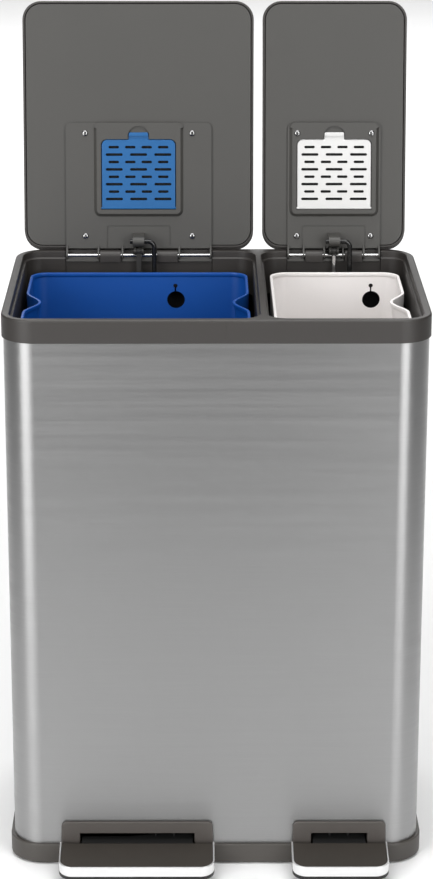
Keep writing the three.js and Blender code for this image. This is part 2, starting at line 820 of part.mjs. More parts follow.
// Plate with square rear corners and round front ones, from s0 to s1 in front of the lid's rear edge.
function tongueplate(middle, width, s0, s1, radius, roundRear = false) {
  const shape = new THREE.Shape();
  const [x0, x1] = [middle - width / 2, middle + width / 2];
  const [rear, front] = [-lidRearFromHinge - s0, -lidRearFromHinge - s1];
  shape.moveTo(x0, front + radius);
  shape.absarc(x0 + radius, front + radius, radius, Math.PI, 1.5 * Math.PI);
  shape.absarc(x1 - radius, front + radius, radius, 1.5 * Math.PI, 2 * Math.PI);
  if (roundRear) {
    shape.absarc(x1 - radius, rear - radius, radius, 0, 0.5 * Math.PI);
    shape.absarc(x0 + radius, rear - radius, radius, 0.5 * Math.PI, Math.PI);
  } else {
    shape.lineTo(x1, rear);
    shape.lineTo(x0, rear);
  }
  return shape;
}

function lidBracket(side) {
  const { middle } = side;
  const plateTop = plateBottom + bracketThick;
  const plate = planProfile(tongueplate(middle, side.bracketWidth, 0, bracketLength, bracketCorner),
    plateBottom, plateTop);
  const bezel = planProfile(tongueplate(middle, bezelWidth, bezelFrom, bracketLength, bezelCorner, true),
    bezelFace, plateBottom + sink);
  const pocket = pocketSpan(side, rimWall);
  const pocketTop = plateBottom + padThick + 2 * padGap + pocketRoof;
  const pocketBox = box(pocket.x, pocket.y, [plateBottom + sink, pocketTop]);
  const pocketInside = pocketSpan(side, 0);
  const room = box(pocketInside.x, pocketInside.y, [bezelFace - cut, pocketTop - pocketRoof]);
  const coverRoom = planProfile(tongueplate(middle, coverWidth + 2 * coverGap, coverFrom - coverGap,
    coverFrom + coverLength + coverGap, coverCorner), bezelFace - cut, plateBottom);
  const tabRoom = planProfile(tongueplate(middle, tabWidth + 2 * coverGap, coverFrom + coverLength - coverGap,
    coverFrom + coverLength + tabRecess, tabWidth / 2), bezelFace - cut, plateBottom - coverGap);
  const stubReach = coverWidth / 2 + coverStub + cut;
  const pivotHoles = crosswise(coverThick / 2 + fit, middle - stubReach, middle + stubReach,
    coverPivot.y, coverPivot.z, 12);
  const panelRoom = planProfile(tongueplate(middle, panelWidth, -cut, panelLength, panelCorner),
    plateBottom - cut, plateBottom + panelSink);
  const holes = screwPlaces(side).map(([x, y]) =>
    upright(screwShankRadius + fit, x, y, bezelFace - cut, plateTop + cut, 8));
  const ribs = side.windows.flatMap(([x0, x1]) => [[x0, x0 + windowRib], [x1 - windowRib, x1]])
    .map(([x0, x1]) => sideProfile(tongue([0, 0], windowRibRadius,
      [-lidRearFromHinge * 2, plateTop], [-lidRearFromHinge, plateTop]), x0, x1));
  const barHigh = [-windowBarThick / 2, windowBarThick / 2];
  const bars = side.windows.map((span) => box(span, [windowBarReach - windowBarThick, windowBarReach], barHigh));
  const barRibs = side.windows.flatMap(([x0, x1]) => [[x0, x0 + windowRib], [x1 - windowRib, x1]])
    .map((span) => box(span, [0, windowBarReach], barHigh));
  const bore = crosswise(pinRadius + pinBoreClearance, side.bracket[0] - cut, side.bracket[1] + cut, 0, 0);
  const lugSpan = [middle - lugWidth / 2, middle + lugWidth / 2];
  const lugOutline = tongue(rodPivot, lugRadius, [lugBase[0], plateTop], [lugBase[1], plateTop]);
  const lug = sideProfile(lugOutline, ...lugSpan)
    .subtract(crosswise(rodRadius + fit, lugSpan[0] - cut, lugSpan[1] + cut, ...rodPivot, 12));
  const earInner = damperEyeWidth / 2 + fit;
  const earOutline = tongue(damperPivot, damperEarRadius,
    [-2 * lidRearFromHinge, plateTop], [-lidRearFromHinge, plateTop]);
  const ears = [middle - earInner - damperEar, middle + earInner].map((x) =>
    sideProfile(earOutline, x, x + damperEar));
  const eyeRoom = join(
    crosswise(damperEyeRadius + 2 * fit, middle - earInner, middle + earInner, ...damperPivot, 24),
    box([middle - earInner, middle + earInner], [damperPivot[0], windowBarReach],
      [damperPivot[1] - damperEyeRadius, damperPivot[1] + damperEyeRadius]));
  const earBore = crosswise(damperPinRadius + fit, middle - earInner - damperEar - cut,
    middle + earInner + damperEar + cut, ...damperPivot, 12);
  return join(plate, bezel, pocketBox).subtract(join(room, coverRoom, tabRoom, pivotHoles, panelRoom, holes))
    .add(join(ribs, bars, barRibs)).subtract(bore).add(join(lug, ears)).subtract(join(eyeRoom, earBore));
}

function lidScrew(side, [x, y]) {
  const isOnBezel = y < -lidRearFromHinge - bezelFrom && Math.abs(x - side.middle) < bezelWidth / 2;
  return toSolid(panScrew(screwLength).translate(x, y, (isOnBezel ? bezelFace : plateBottom) - screwHeadHigh));
}

function filterPad(side) {
  const room = pocketSpan(side, -padGap);
  return box(room.x, room.y, [plateBottom + padGap, plateBottom + padGap + padThick]);
}

function filterCover(side) {
  const { middle } = side;
  const plate = planProfile(tongueplate(middle, coverWidth, coverFrom + coverThick / 3,
    coverFrom + coverLength, coverCorner), coverFace, coverBack);
  const hem = crosswise(coverThick / 2, middle - coverWidth / 2, middle + coverWidth / 2,
    coverPivot.y, coverPivot.z, 12);
  const stubReach = coverWidth / 2 + coverStub;
  const stubs = crosswise(coverThick / 2 - fit, middle - stubReach, middle + stubReach,
    coverPivot.y, coverPivot.z, 12);
  const tab = planProfile(tongueplate(middle, tabWidth, coverFrom + coverLength - tabRoot,
    coverFrom + coverLength + tabReach, tabCorner), coverFace, coverFace + tabThick);
  const slots = [];
  for (let row = 0; row < slotRows; row++) {
    const y = -lidRearFromHinge - coverFrom - slotFirst - row * slotPitch;
    const { places, pitch, length } = row % 2 === 0 ? longSlots : shortSlots;
    for (const place of places) {
      slots.push(planProfile(slotOutline(middle + place * pitch, y, length, slotHigh),
        coverFace - cut, coverBack + cut));
    }
  }
  return join(plate, hem, stubs, tab).subtract(join(slots));
}

function slotOutline(x, y, length, high) {
  const [reach, half] = [length / 2, high / 2];
  const flat = reach - half * 0.6; // the rounded ends are drawn as blunt points
  return [
    [x - reach, y], [x - flat, y - half], [x + flat, y - half],
    [x + reach, y], [x + flat, y + half], [x - flat, y + half],
  ];
}

// ---- Links ----

function pushRod(side) {
  const lugFace = side.middle - lugWidth / 2;
  const bendX = side.rodX - rodBend;
  const hookX = side.leverX - leverThick / 2 - hookPast;
  const path = [
    [lugFace - stubPast, rodTopZ],
    ...quarterBend([bendX, rodTopZ - rodBend], rodBend, Math.PI / 2),
    ...quarterBend([side.rodX - rodBend / 2, rodFootZ + rodBend / 2], rodBend / 2, 0),
    [hookX, rodFootZ],
  ];
  return bentWire(path, rodY, rodRadius);
}

function damperPin(side) {
  const reach = damperEyeWidth / 2 + fit + damperEar;
  return crosswise(damperPinRadius, side.middle - reach, side.middle + reach, ...damperPivot, 12);
}

function damperEye(side) {
  const half = damperEyeWidth / 2;
  const eye = crosswise(damperEyeRadius, side.middle - half, side.middle + half, damperY, damperTopZ, 20);
  const socket = box([side.middle - half, side.middle + half], [damperY - half, damperY + half],
    [damperTopZ - side.damperSocket - damperEyeRadius, damperTopZ]);
  return eye.add(socket)
    .subtract(crosswise(damperPinRadius + fit, side.middle - half - cut, side.middle + half + cut,
      damperY, damperTopZ, 12));
}

function damperRod(side) {
  const top = damperTopZ - side.damperSocket - damperEyeRadius;
  return upright(damperRodRadius, side.middle, damperY, top - damperRodLength, top, 16);
}

function damperCylinder(side) {
  const bottom = damperFootZ + cylinderAboveFoot;
  const top = bottom + cylinderLength;
  const tube = upright(cylinderRadius, side.middle, damperY, bottom, top, 18)
    .subtract(upright(cylinderBore, side.middle, damperY, bottom + cylinderEnd, top + cut, 16));
  const foot = box(side.half(footEye[0]), [damperY - footEye[1] / 2, damperY + footEye[1] / 2],
    [damperFootZ - footEyeBelow, bottom + sink]);
  const [pinFrom, pinTo] = side.half(strapWidth);
  const pin = crosswise(footPinRadius, pinFrom - cut, pinTo + cut, damperY, damperFootZ, 12);
  return join(tube, foot, pin);
}

function damperBracket(side) {
  const [x0, x1] = side.half(strapWidth);
  const apronFoot = hingeZ - apronDrop;
  const rear = hingeY + strapSetBack;
  const [top, bend, foot] = [strapScrewZ + strapPastScrew, apronFoot - 2 * fit, damperFootZ - strapPastFoot];
  const outline = [
    [hingeY - strapThick, top], [hingeY - strapThick, bend - strapThick],
    [rear - strapThick, bend - strapThick], [rear - strapThick, foot],
    [rear, foot], [rear, bend], [hingeY - fit, bend], [hingeY - fit, top],
  ];
  const strap = sideProfile(outline, x0, x1);
  const slot = {
    y: [damperY + damperWander.low[0] - footPinRadius - slotClearance,
      damperY + damperWander.high[0] + footPinRadius + slotClearance],
    z: [damperFootZ + damperWander.low[1] - footPinRadius - slotClearance,
      damperFootZ + damperWander.high[1] + footPinRadius + slotClearance],
  };
  const cheeks = [[x0, x0 + strapThick], [x1 - strapThick, x1]].map((span) =>
    box(span, [slot.y[0] - cheekMargin[0], rear - sink],
      [slot.z[0] - cheekMargin[1], slot.z[1] + cheekMargin[1]]));
  return strap.add(join(cheeks)).subtract(box([x0 - cut, x1 + cut], slot.y, slot.z))
    .subtract(strapScrewHoles(side, hingeY - strapThick - cut, hingeY + cut));
}

// ---- Pedals, built level about the axle ----

function treadPlan(side, inset, y0, y1) {
  const [x0, x1] = [side.pedal[0] + inset, side.pedal[1] - inset];
  const r = pedalCorner - inset;
  const shape = new THREE.Shape();
  shape.moveTo(x0, y1);
  shape.lineTo(x0, y0 + inset + r);
  shape.absarc(x0 + r, y0 + inset + r, r, Math.PI, 1.5 * Math.PI);
  shape.absarc(x1 - r, y0 + inset + r, r, 1.5 * Math.PI, 2 * Math.PI);
  shape.lineTo(x1, y1);
  return shape;
}

const trayTop = treadTop - padPlate - fit;
const trimBottom = treadTop + fit - trimHigh;
const neckTop = trayTop + neckThick;
const flangeTop = trayTop - fit;

function pedalPad(side) {
  return planProfile(treadPlan(side, trimThick + fit, -pedalReach, -pedalRear - padOverlap),
    treadTop - padPlate, treadTop);
}

function pedalTrim(side) {
  return planProfile(treadPlan(side, 0, -pedalReach, -pedalRear), trimBottom, treadTop + fit)
    .subtract(planProfile(treadPlan(side, trimThick, -pedalReach, -pedalRear + cut),
      trimBottom - cut, treadTop + fit + cut));
}

function pedalCarrier(side) {
  const [x0, x1] = side.neck;
  const lipBottom = trimBottom - fit - lipHigh;
  const tray = planProfile(treadPlan(side, trimThick + fit, -pedalReach, -pedalRear), lipBottom, trayTop)
    .add(planProfile(treadPlan(side, 0, -pedalReach, -pedalRear), lipBottom, trimBottom - fit));
  const hollow = planProfile(treadPlan(side, trimThick + fit + trayWall, -pedalReach, -pedalRear - trayWall),
    lipBottom - cut, trayTop - trayWall);
  const neck = box([x0, x1], [-pedalRear - padOverlap + fit, neckPastAxle], [trayTop, neckTop]);
  const root = box([x0, x1], [-pedalRear - trayWall, -pedalRear], [trayTop - neckThick, trayTop + sink]);
  const ears = neckEars(side).map(([e0, e1]) => sideProfile(
    tongue([0, 0], earRadius, [-earRadius * 2, neckTop - sink], [neckPastAxle, neckTop - sink]), e0, e1));
  const ribCount = Math.max(1, Math.round((side.slot[1] - side.slot[0]) / ribPitch) - 1);
  const ribs = Array.from({ length: ribCount }, (_, i) => {
    const x = side.middle + (i - (ribCount - 1) / 2) * ribPitch;
    return box([x - ribThick / 2, x + ribThick / 2], [-pedalRear + ribSpan[0], -ribSpan[1]],
      [neckTop - sink, neckTop + ribHigh]);
  });
  const bore = crosswise(axleRadius + pinBoreClearance, x0 - cut, x1 + cut, 0, 0);
  const catches = [-1, 1].flatMap((way) => {
    const x = side.leverX + way * (flangeHalf + fit + catchThick / 2);
    const hook = side.leverX + way * (flangeHalf + fit);
    const bottom = flangeTop - leverFlange - fit - catchThick;
    return [
      box([x - catchThick / 2, x + catchThick / 2], catchSpan, [bottom, trayTop + sink]),
      box([hook - catchThick, hook + catchThick], catchSpan, [bottom, bottom + catchThick]),
    ];
  });
  return join(tray.subtract(hollow), neck, root, ears, ribs, catches).subtract(bore);
}

function pedalLever(side) {
  const { leverX } = side;
  const room = rodRadius + slotClearance;
  const slot = {
    y: [leverReach + rodWander.low[0] - room, leverReach + rodWander.high[0] + room],
    z: [rodWander.low[1] - room, rodWander.high[1] + room],
  };
  const [front, rear] = flangeSpan;
  const plateTop = flangeTop - leverFlange;
  const outline = [
    [front, plateTop], [front, 0], [rear, -leverHalfHigh], [slot.y[0] - slotApproach, -leverHalfHigh],
    [slot.y[0], slot.z[0] - leverPaddle], [slot.y[1], slot.z[0] - leverPaddle],
    [slot.y[1] + leverPaddle, slot.z[0]], [slot.y[1] + leverPaddle, slot.z[1]],
    [slot.y[1], slot.z[1] + leverPaddle], [slot.y[0], slot.z[1] + leverPaddle],
    [slot.y[0] - slotApproach, leverHalfHigh], [heelReach[1], leverHalfHigh], [heelReach[0], plateTop],
  ];
  const [x0, x1] = [leverX - leverThick / 2, leverX + leverThick / 2];
  const plate = sideProfile(outline, x0, x1)
    .subtract(box([x0 - cut, x1 + cut], slot.y, slot.z))
    .subtract(crosswise(axleRadius + pinBoreClearance, x0 - cut, x1 + cut, 0, 0));
  const flange = box([leverX - flangeHalf, leverX + flangeHalf], flangeSpan, [plateTop, flangeTop]);
  return plate.add(flange);
}

function pedalAxle(side) {
  const [[x0], [, x1]] = axleEars(side);
  return crosswise(axleRadius, x0 - cut, x1 + clipThick + axlePastClip, axleY, axleHeight)
    .add(crosswise(axleRadius + axleHeadProud, x0 - fit - clipThick, x0 - fit, axleY, axleHeight));
}

function axleClip(side) {
  const [, [, x1]] = axleEars(side);
  return crosswise(axleRadius + clipProud, x1 + fit, x1 + fit + clipThick, axleY, axleHeight)
    .subtract(crosswise(axleRadius + fit, x1, x1 + 2 * clipThick, axleY, axleHeight));
}

// ---- Buckets ----

// Plan of a bucket, with a smooth finger scoop of the given depth in each side listed.
function bucketRing(width, depth, radius, x, y, scoops, scoop) {
  const ring = roundedRing(width, depth, radius, x, y, 4);
  const samples = [-1, -0.7, -0.45, -0.2, 0.2, 0.45, 0.7, 1];
  const wave = (way) => samples.map((t) => [
    x + way * (width / 2 - (scoops.includes(way) ? scoop * (0.5 + 0.5 * Math.cos(Math.PI * t)) : 0)),
    scoopMiddle + way * t * scoopHalf,
  ]);
  const quarter = ring.length / 4;
  return [...ring.slice(0, 2 * quarter), ...wave(-1), ...ring.slice(2 * quarter), ...wave(1)];
}

function bucket(side) {
  const inner = grown(side.opening, -ledgeWidth - bucketGap);
  const front = side.opening.y - side.opening.depth / 2 + ledgeWidth + bucketFrontGap;
  const depth = bucketRear - front;
  const y = (bucketRear + front) / 2;
  const bottom = innerFloorTop + fit;
  const levels = [
    [bottom, bucketTaper + bucketFoot, 0], [bottom + bucketFoot, bucketTaper, 0],
    [bucketTop - scoopDrop, bucketTaper * scoopDrop / bucketTop, 0],
    [bucketTop - scoopDrop / 2, bucketTaper * scoopDrop / bucketTop / 2, scoopDepth / 2],
    [bucketTop, 0, scoopDepth],
  ];
  const ring = (z, inset, scoop) => at(bucketRing(inner.width - 2 * inset, depth - 2 * inset,
    bucketCorner - inset / 2, inner.x, y, side.scoops, scoop), z);
  const outer = levels.map(([z, inset, scoop]) => ring(z, inset, scoop));
  const lined = levels.map(([z, inset, scoop], i) =>
    ring(i ? z : z + bucketWall, inset + bucketWall, scoop)).reverse();
  const shell = loft([...outer, ...lined]);
  const holeX = side.middle + side.bagHoleFromMiddle;
  const holeZ = bucketTop - bagHoleDrop;
  return shell.subtract(bagHole(holeX, holeZ));
}

function bagHole(x, z) {
  const r = bagHoleRadius;
  const span = [bucketRear - bucketCorner, bucketRear + cut];
  const disc = (radius, cx, cz, facets) => toSolid(new THREE.CylinderGeometry(
    radius, radius, span[1] - span[0], facets).translate(cx, (span[0] + span[1]) / 2, cz));
  const tail = frontProfile([
    [x, z], [x + r * 0.98, z + r * 0.1], [x + r * 0.8, z + r * 0.75], [x + r * 0.35, z + r * 1.25],
    [x + bagNotchRadius * 0.6, z + bagNotchRise], [x - bagNotchRadius * 0.5, z + bagNotchRise - 1],
    [x + r * 0.2, z + r * 1.05],
  ], ...span);
  return join(disc(r, x, z, 18), tail, disc(bagNotchRadius, x - 0.6, z + bagNotchRise, 10));
}

// ---- The bin ----

const bin = new THREE.Group();

function place(group, name, solid, material) {
  const mesh = new THREE.Mesh(toGeometry(solid), material);
  mesh.name = name;
  group.add(mesh);
}

place(bin, 'steel_body', steelBody(), brushedSteel);
place(bin, 'base', base(), plastic);
place(bin, 'inner_floor', innerFloor(), darkPlastic);
place(bin, 'top_rim', topRim(), plastic);

for (const side of bothSides) {
  const { name } = side;
  place(bin, `pedal_surround_${name}`, pedalSurround(side), plastic);
  place(bin, `hinge_block_${name}`, hingeBlock(side), plastic);
  place(bin, `hinge_pin_${name}`, hingePin(side), brightSteel);
  place(bin, `damper_bracket_${name}`, damperBracket(side), zincSteel);
  strapScrewXs(side).forEach((x, i) =>
    place(bin, `damper_bracket_screw_${name}_${i + 1}`, strapScrew(x), zincSteel));
  place(bin, `pedal_axle_${name}`, pedalAxle(side), zincSteel);
  place(bin, `pedal_axle_clip_${name}`, axleClip(side), zincSteel);
  place(bin, `bucket_${name}`, bucket(side), finish(side.bucketColour, 0.45));
  place(bin, `push_rod_${name}`, pushRod(side), blackWire);
  place(bin, `damper_eye_${name}`, damperEye(side), darkPlastic);
  place(bin, `damper_rod_${name}`, damperRod(side), brightSteel);
  place(bin, `damper_cylinder_${name}`, damperCylinder(side), darkPlastic);

  const lid = new THREE.Group();
  lid.position.set(0, hingeY, hingeZ);
  lid.rotation.x = -lidTravel;
  bin.add(lid);
  place(lid, `lid_shell_${name}`, lidShell(side), plastic);
  place(lid, `lid_liner_${name}`, lidLiner(side), linerPlastic);
  place(lid, `lid_bracket_${name}`, lidBracket(side), linerPlastic);
  screwPlaces(side).forEach((spot, i) =>
    place(lid, `lid_screw_${name}_${i + 1}`, lidScrew(side, spot), brightSteel));
  place(lid, `filter_pad_${name}`, filterPad(side), filterFoam);
  place(lid, `filter_cover_${name}`, filterCover(side), finish(side.coverColour, 0.45));
  place(lid, `damper_pin_${name}`, damperPin(side), zincSteel);

  const pedal = new THREE.Group();
  pedal.position.set(0, axleY, axleHeight);
  pedal.rotation.x = pedalSlope;
  bin.add(pedal);
  place(pedal, `pedal_pad_${name}`, pedalPad(side), padPlastic);
  place(pedal, `pedal_trim_${name}`, pedalTrim(side), brushedSteel);
  place(pedal, `pedal_carrier_${name}`, pedalCarrier(side), darkPlastic);
  place(pedal, `pedal_lever_${name}`, pedalLever(side), zincSteel);
}

export default bin;
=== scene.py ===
import math

import bmesh
import bpy
from mathutils import Matrix, Vector


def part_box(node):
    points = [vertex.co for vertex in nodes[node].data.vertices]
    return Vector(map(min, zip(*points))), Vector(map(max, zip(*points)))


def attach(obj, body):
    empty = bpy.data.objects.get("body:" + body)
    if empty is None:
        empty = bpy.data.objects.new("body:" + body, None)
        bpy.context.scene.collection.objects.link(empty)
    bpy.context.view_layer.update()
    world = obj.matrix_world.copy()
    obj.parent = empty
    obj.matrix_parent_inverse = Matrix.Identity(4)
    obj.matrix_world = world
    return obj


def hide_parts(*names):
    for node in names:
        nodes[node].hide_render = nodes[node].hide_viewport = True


# Double recycling bin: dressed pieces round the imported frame.
# Sizes in the dictionaries are millimetres, except where a line says so.

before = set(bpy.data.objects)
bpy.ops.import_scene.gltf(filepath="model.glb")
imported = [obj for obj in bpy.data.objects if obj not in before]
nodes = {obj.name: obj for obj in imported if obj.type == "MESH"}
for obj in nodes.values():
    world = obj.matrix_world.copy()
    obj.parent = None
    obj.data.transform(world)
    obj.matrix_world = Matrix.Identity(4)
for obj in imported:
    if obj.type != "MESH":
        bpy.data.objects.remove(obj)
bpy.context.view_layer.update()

mm = 0.001
full = math.radians(360)
smoothTo = math.radians(36)  # edges that turn more than this stay crisp
bevelFrom = math.radians(40)  # edges that turn more than this get a piece's bevel
flatWithin = math.radians(0.5)  # faces of a CAD node that turn less than this are one face
nodeWeld = 1e-6  # points of a CAD node this close are one, in metres
pieceWeld = 1e-4  # points of a new piece this close are one, in millimetres
leastCorner = 0.3
noiseSpan = (0.3, 0.7)  # nearly all of a pattern's values lie between these
slotSlim = 45.3  # how much narrower the slot in the body is than its pedal

rim = {
    "width": 470, "depth": 324, "height": 648, "corner": 37, "band": 26.2, "edge": 2.5,
    "skirt": 1.7, "openingFront": -153, "openingRear": 150, "openingCorner": 22,
    "leftOpening": (-226, 47.8), "rightOpening": (54.8, 226), "ledgeDrop": 8, "ledge": 3,
    "foot": 598, "blockRoom": 1.1, "blockY": (128, 158.7), "mouldLine": 10.6, "lineHalf": 0.15,
}
hinge = {"y": 149, "z": 643, "open": math.radians(-99.5), "pinRadius": 2}
axle = {"y": -114, "z": 22, "pressed": math.radians(7)}
sides = {
    "left": {
        "lid": (-226.4, 46.0), "opening": rim["leftOpening"], "bracket": 172.7, "pedal": 176.5,
        "screwInset": 22.9, "scoops": (-1, 1), "bagHole": -46.0, "bucket": (-216.5, 38.3),
        "marks": ((-43.8, 202.3), (-138.8, 203.3), (33.8, 202.3), (34.0, 90.1)),
    },
    "right": {
        "lid": (56.6, 226.4), "opening": rim["rightOpening"], "bracket": 110, "pedal": 109.5,
        "screwInset": 11.2, "scoops": (1,), "bagHole": 184.8, "bucket": (64.3, 216.5),
        "marks": ((67.1, 202.3),),
    },
}
for side in sides.values():
    side["middle"] = sum(side["lid"]) / 2
    side["slotHalf"] = (side["pedal"] - slotSlim) / 2

# lids are drawn flat, shut and with the hinge at the origin, pedals level and with the axle there
lidPlace = (Matrix.Translation((0, hinge["y"], hinge["z"]))
            @ Matrix.Rotation(hinge["open"], 4, "X"))
pedalPlace = (Matrix.Translation((0, axle["y"], axle["z"]))
              @ Matrix.Rotation(axle["pressed"], 4, "X"))
upright = Matrix.Identity(4)


# shapes

def spanFace(bm, plan, z, grow=0, segments=14):
    # a flat face, with its four corners rounded by a vertex bevel
    known = set(bm.faces)
    (x0, x1), (y0, y1) = plan["x"], plan["y"]
    verts = bmesh.ops.create_grid(bm, x_segments=1, y_segments=1, size=0.5)["verts"]
    bmesh.ops.scale(bm, vec=(x1 - x0 + 2 * grow, y1 - y0 + 2 * grow, 1), verts=verts)
    bmesh.ops.translate(bm, vec=((x0 + x1) / 2, (y0 + y1) / 2, z), verts=verts)
    front = [v for v in verts if v.co.y < (y0 + y1) / 2]
    rear = [v for v in verts if v.co.y > (y0 + y1) / 2]
    rearRadius = plan.get("rearCorner", plan["corner"])
    for corners, radius in ((front, plan["corner"]), (rear, rearRadius)):
        if radius > 0:
            bmesh.ops.bevel(bm, geom=corners, offset=max(radius + grow, leastCorner),
                            segments=segments, profile=0.5, affect="VERTICES", material=-1)
    return next(f for f in bm.faces if f not in known)


def skin(bm, plan, levels, closed=False, segments=14):
    # walls through levels of (height, how far the plan is grown)
    # the first and last level are capped, unless the walls close on themselves
    rings = []
    for i, (z, grow) in enumerate(levels):
        face = spanFace(bm, plan, z, grow, segments)
        rings.append(list(face.edges))
        if closed or 0 < i < len(levels) - 1:
            bmesh.ops.delete(bm, geom=[face], context="FACES_ONLY")
    after = rings[1:] + rings[:1] if closed else rings[1:]
    for ring, following in zip(rings, after):
        bmesh.ops.bridge_loops(bm, edges=ring + following)


def roundOver(z, grow, radius, steps=5, below=False):
    # levels that round a top edge off, or a bottom edge
    turns = [math.radians(90) * k / steps for k in range(steps + 1)]
    levels = [(z + (math.sin(t) - 1) * radius, grow + (math.cos(t) - 1) * radius) for t in turns]
    return [(2 * z - height, out) for height, out in reversed(levels)] if below else levels


def block(bm, x, y, z):
    verts = bmesh.ops.create_cube(bm, size=1)["verts"]
    bmesh.ops.scale(bm, vec=(x[1] - x[0], y[1] - y[0], z[1] - z[0]), verts=verts)
    bmesh.ops.translate(bm, vec=(sum(x) / 2, sum(y) / 2, sum(z) / 2), verts=verts)


def roundBar(bm, radius, start, end, segments=32):
    # a closed round bar from start to end
    start, end = Vector(start), Vector(end)
    turn = (end - start).to_track_quat("Z", "Y").to_matrix().to_4x4()
    bmesh.ops.create_cone(bm, cap_ends=True, segments=segments, radius1=radius, radius2=radius,
                          depth=(end - start).length,
                          matrix=Matrix.Translation((start + end) / 2) @ turn)


def turned(bm, outline, centre=(0, 0, 0), steps=32):
    # an outline of (radius, height) spun about Z
    verts = [bm.verts.new((centre[0] + r, centre[1], centre[2] + z)) for r, z in outline]
    edges = [bm.edges.new(pair) for pair in zip(verts, verts[1:])]
    bmesh.ops.spin(bm, geom=verts + edges, cent=centre, axis=(0, 0, 1), angle=full,
                   steps=steps, use_merge=True, use_duplicate=False)
    bmesh.ops.remove_doubles(bm, verts=bm.verts, dist=pieceWeld)


def quarterTurn(centre, y, radius, start, steps=10):
    # points of a clockwise quarter circle in an upright plane, seen from the front
    angles = [math.radians(start - 90 * k / steps) for k in range(steps + 1)]
    return [(centre[0] + radius * math.cos(t), y, centre[1] + radius * math.sin(t)) for t in angles]


def wire(bm, radius, path):
    # a closed round bar along the points of a path
    rings = []
    for i, point in enumerate(path):
        ahead = Vector(path[min(i + 1, len(path) - 1)]) - Vector(path[max(i - 1, 0)])
        place = Matrix.Translation(point) @ ahead.to_track_quat("Z", "Y").to_matrix().to_4x4()
        verts = bmesh.ops.create_circle(bm, cap_ends=i in (0, len(path) - 1), radius=radius,
                                        segments=20, matrix=place)["verts"]
        rings.append(list({e for v in verts for e in v.link_edges}))
    for near, far in zip(rings, rings[1:]):
        bmesh.ops.bridge_loops(bm, edges=near + far)


def fromNode(name, place=upright):
    # a merged copy of a CAD node in millimetres, turned back to the frame that it was drawn in
    bm = bmesh.new()
    bm.from_mesh(nodes[name].data)
    bmesh.ops.remove_doubles(bm, verts=bm.verts, dist=nodeWeld)
    bmesh.ops.scale(bm, vec=(1 / mm,) * 3, verts=bm.verts)
    bmesh.ops.transform(bm, matrix=place.inverted(), verts=bm.verts)
    bmesh.ops.dissolve_limit(bm, angle_limit=flatWithin, verts=bm.verts, edges=bm.edges)
    return bm


# pieces

def newObject(bm, name, place=upright):
    bmesh.ops.transform(bm, matrix=Matrix.Scale(mm, 4) @ place, verts=bm.verts)
    mesh = bpy.data.meshes.new(name)
    bm.to_mesh(mesh)
    bm.free()
    obj = bpy.data.objects.new(name, mesh)
    bpy.context.scene.collection.objects.link(obj)
    return obj


def combine(obj, bm, operation, place=upright):
    # joins a second shape to a piece, or cuts it out of it
    bmesh.ops.recalc_face_normals(bm, faces=bm.faces)
    tool = newObject(bm, "tool", place)
    modifier = obj.modifiers.new("combine", "BOOLEAN")
    modifier.operation, modifier.solver = operation, "EXACT"
    modifier.use_self, modifier.object = True, tool
    bpy.context.view_layer.update()
    shown = obj.evaluated_get(bpy.context.evaluated_depsgraph_get())
    obj.data = bpy.data.meshes.new_from_object(shown)
    obj.modifiers.clear()
    bpy.data.objects.remove(tool)


def finishPiece(obj, material, body, replaced, bevel=0.0, segments=2):
    # gives a piece its look and its edges, hangs it on the body that it rides on, and hides the
    # nodes that it stands for
    mesh = obj.data
    mesh.materials.clear()
    mesh.materials.append(material)
    mesh.shade_smooth()
    mesh.set_sharp_from_angle(angle=smoothTo)
    if bevel:
        edge = obj.modifiers.new("edge", "BEVEL")
        edge.width, edge.segments, edge.limit_method = bevel * mm, segments, "ANGLE"
        edge.angle_limit, edge.use_clamp_overlap = bevelFrom, True
    normals = obj.modifiers.new("normals", "WEIGHTED_NORMAL")
    normals.keep_sharp = True
    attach(obj, body)
    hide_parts(*replaced)


def closedPiece(bm, name, place=upright):
    bmesh.ops.remove_doubles(bm, verts=bm.verts, dist=pieceWeld)
    bmesh.ops.recalc_face_normals(bm, faces=bm.faces)
    return newObject(bm, name, place)


# materials

def newMaterial(name, roughness, metallic=0.0, specular=0.5):
    material = bpy.data.materials.new(name)
    material.use_nodes = True
    tree = material.node_tree
    shader = tree.nodes["Principled BSDF"]
    shader.inputs["Roughness"].default_value = roughness
    shader.inputs["Metallic"].default_value = metallic
    shader.inputs["Specular IOR Level"].default_value = specular
    return material, tree, shader


def pattern(tree, scale, detail=2.0, stretch=(1, 1, 1), kind="noise"):
    # a noise or cell pattern on Object coordinates
    place = tree.nodes.new("ShaderNodeTexCoord")
    mapping = tree.nodes.new("ShaderNodeMapping")
    mapping.inputs["Scale"].default_value = stretch
    texture = tree.nodes.new("ShaderNodeTexNoise" if kind == "noise" else "ShaderNodeTexVoronoi")
    texture.inputs["Scale"].default_value = scale
    if kind == "noise":
        texture.inputs["Detail"].default_value = detail
    tree.links.new(place.outputs["Object"], mapping.inputs["Vector"])
    tree.links.new(mapping.outputs["Vector"], texture.inputs["Vector"])
    return texture.outputs["Fac" if kind == "noise" else "Distance"]


def between(tree, value, low, high):
    # spreads a pattern over the numbers from low to high
    spread = tree.nodes.new("ShaderNodeMapRange")
    spread.inputs["From Min"].default_value, spread.inputs["From Max"].default_value = noiseSpan
    spread.inputs["To Min"].default_value, spread.inputs["To Max"].default_value = low, high
    tree.links.new(value, spread.inputs["Value"])
    return spread.outputs["Result"]


def tint(tree, value, low, high):
    ramp = tree.nodes.new("ShaderNodeValToRGB")
    for stop, position, colour in zip(ramp.color_ramp.elements, noiseSpan, (low, high)):
        stop.position, stop.color = position, (*colour, 1)
    tree.links.new(value, ramp.inputs["Fac"])
    return ramp.outputs["Color"]


